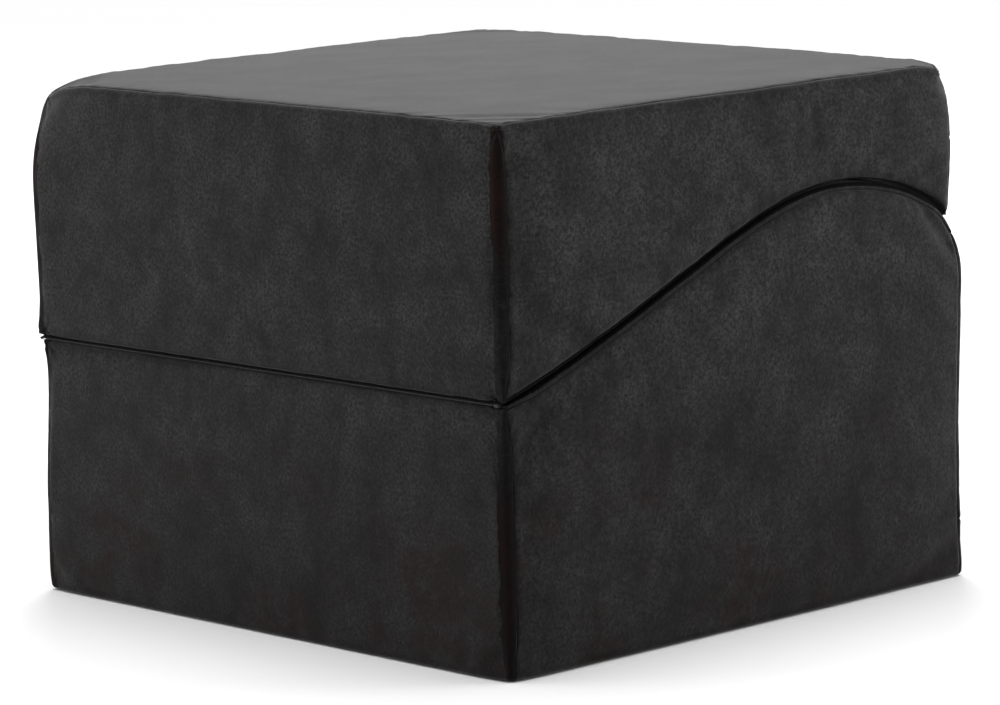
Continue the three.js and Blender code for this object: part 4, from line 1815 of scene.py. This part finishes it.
def make_lights():
    share = bpy.context.scene.ottoman_stage.light
    overhead = placed_light("overhead", "SUN", (0, 0, 5), OVERHEAD * share)
    overhead.data.angle = math.radians(OVERHEAD_SPREAD)
    for name, place, size, power in SOFTBOXES:
        light = placed_light(name, "AREA", place, power * share)
        light.data.shape = "SQUARE"
        light.data.size = size
        towards = LOOK_AT - Vector(place)
        light.rotation_euler = towards.to_track_quat("-Z", "Y").to_euler()
    world = bpy.data.worlds.new("studio")
    world.use_nodes = True
    background = world.node_tree.nodes["Background"]
    background.inputs["Color"].default_value = (1, 1, 1, 1)
    background.inputs["Strength"].default_value = AMBIENT * share
    bpy.context.scene.world = world


def make_floor():
    radius, sides = 45.0, 96
    angle = np.linspace(0, 2 * math.pi, sides, endpoint=False)
    rim = np.stack([radius * np.cos(angle), radius * np.sin(angle), 0 * angle], axis=1)
    obj = new_object("floor", rim, [range(sides)], smooth=False)
    obj.location.z = -0.2 * MM
    obj.data.materials.append(floor_paint())


# ---------------------------------------------------------------- operators and panel
class OTTOMAN_OT_covers(bpy.types.Operator):
    """Velvet cover of each block, sewn from panels and filled out by the foam"""

    bl_idname = "ottoman.covers"
    bl_label = "Velvet covers"

    def execute(self, context):
        for block in BLOCKS:
            make_cover(block)
        return {"FINISHED"}


class OTTOMAN_OT_foam(bpy.types.Operator):
    """Foam block inside each cover"""

    bl_idname = "ottoman.foam"
    bl_label = "Foam blocks"

    def execute(self, context):
        for block in BLOCKS:
            make_foam(block)
        return {"FINISHED"}


class OTTOMAN_OT_liners(bpy.types.Operator):
    """Knitted bag between each foam block and its cover"""

    bl_idname = "ottoman.liners"
    bl_label = "Liners"

    def execute(self, context):
        for block in BLOCKS:
            make_liner(block)
        return {"FINISHED"}


class OTTOMAN_OT_hinge(bpy.types.Operator):
    """Folded fabric strip that joins the two blocks, with its bar-tacks"""

    bl_idname = "ottoman.hinge"
    bl_label = "Fabric hinge"

    def execute(self, context):
        make_hinge()
        return {"FINISHED"}


class OTTOMAN_OT_zips(bpy.types.Operator):
    """Zip at the back of each cover: tapes, coils, stops, slider, pull and topstitching"""

    bl_idname = "ottoman.zips"
    bl_label = "Zips"

    def execute(self, context):
        make_zips()
        return {"FINISHED"}


class OTTOMAN_OT_stage(bpy.types.Operator):
    """Pale floor, soft studio lights and the camera"""

    bl_idname = "ottoman.stage"
    bl_label = "Stage"

    def execute(self, context):
        context.scene.view_settings.view_transform = "Standard"
        make_floor()
        make_lights()
        make_camera()
        return {"FINISHED"}


class OTTOMAN_PT_pieces(bpy.types.Panel):
    """Lists the pieces of the ottoman and their settings"""

    bl_idname = "OTTOMAN_PT_pieces"
    bl_label = "Fold-out ottoman"
    bl_space_type = "VIEW_3D"
    bl_region_type = "UI"
    bl_category = "Ottoman"

    def draw(self, context):
        scene = context.scene
        for group in (scene.ottoman_shape, scene.ottoman_colours, scene.ottoman_stage):
            box = self.layout.box()
            for name in group.__annotations__:
                box.prop(group, name)
        column = self.layout.column()
        for operator in OPERATORS:
            column.operator(operator.bl_idname)


OPERATORS = (
    OTTOMAN_OT_covers,
    OTTOMAN_OT_foam,
    OTTOMAN_OT_liners,
    OTTOMAN_OT_hinge,
    OTTOMAN_OT_zips,
    OTTOMAN_OT_stage,
)
GROUPS = {
    "ottoman_shape": OttomanShape,
    "ottoman_colours": OttomanColours,
    "ottoman_stage": OttomanStage,
}


def register():
    for cls in (*GROUPS.values(), *OPERATORS, OTTOMAN_PT_pieces):
        bpy.utils.register_class(cls)
    for name, cls in GROUPS.items():
        setattr(bpy.types.Scene, name, PointerProperty(type=cls))


def unregister():
    for name in GROUPS:
        delattr(bpy.types.Scene, name)
    for cls in (OTTOMAN_PT_pieces, *reversed(OPERATORS), *GROUPS.values()):
        bpy.utils.unregister_class(cls)


def main():
    register()
    bpy.ops.ottoman.covers()
    bpy.ops.ottoman.foam()
    bpy.ops.ottoman.liners()
    bpy.ops.ottoman.hinge()
    bpy.ops.ottoman.zips()
    bpy.ops.ottoman.stage()
    bpy.context.view_layer.update()


if __name__ == "__main__":
    main()
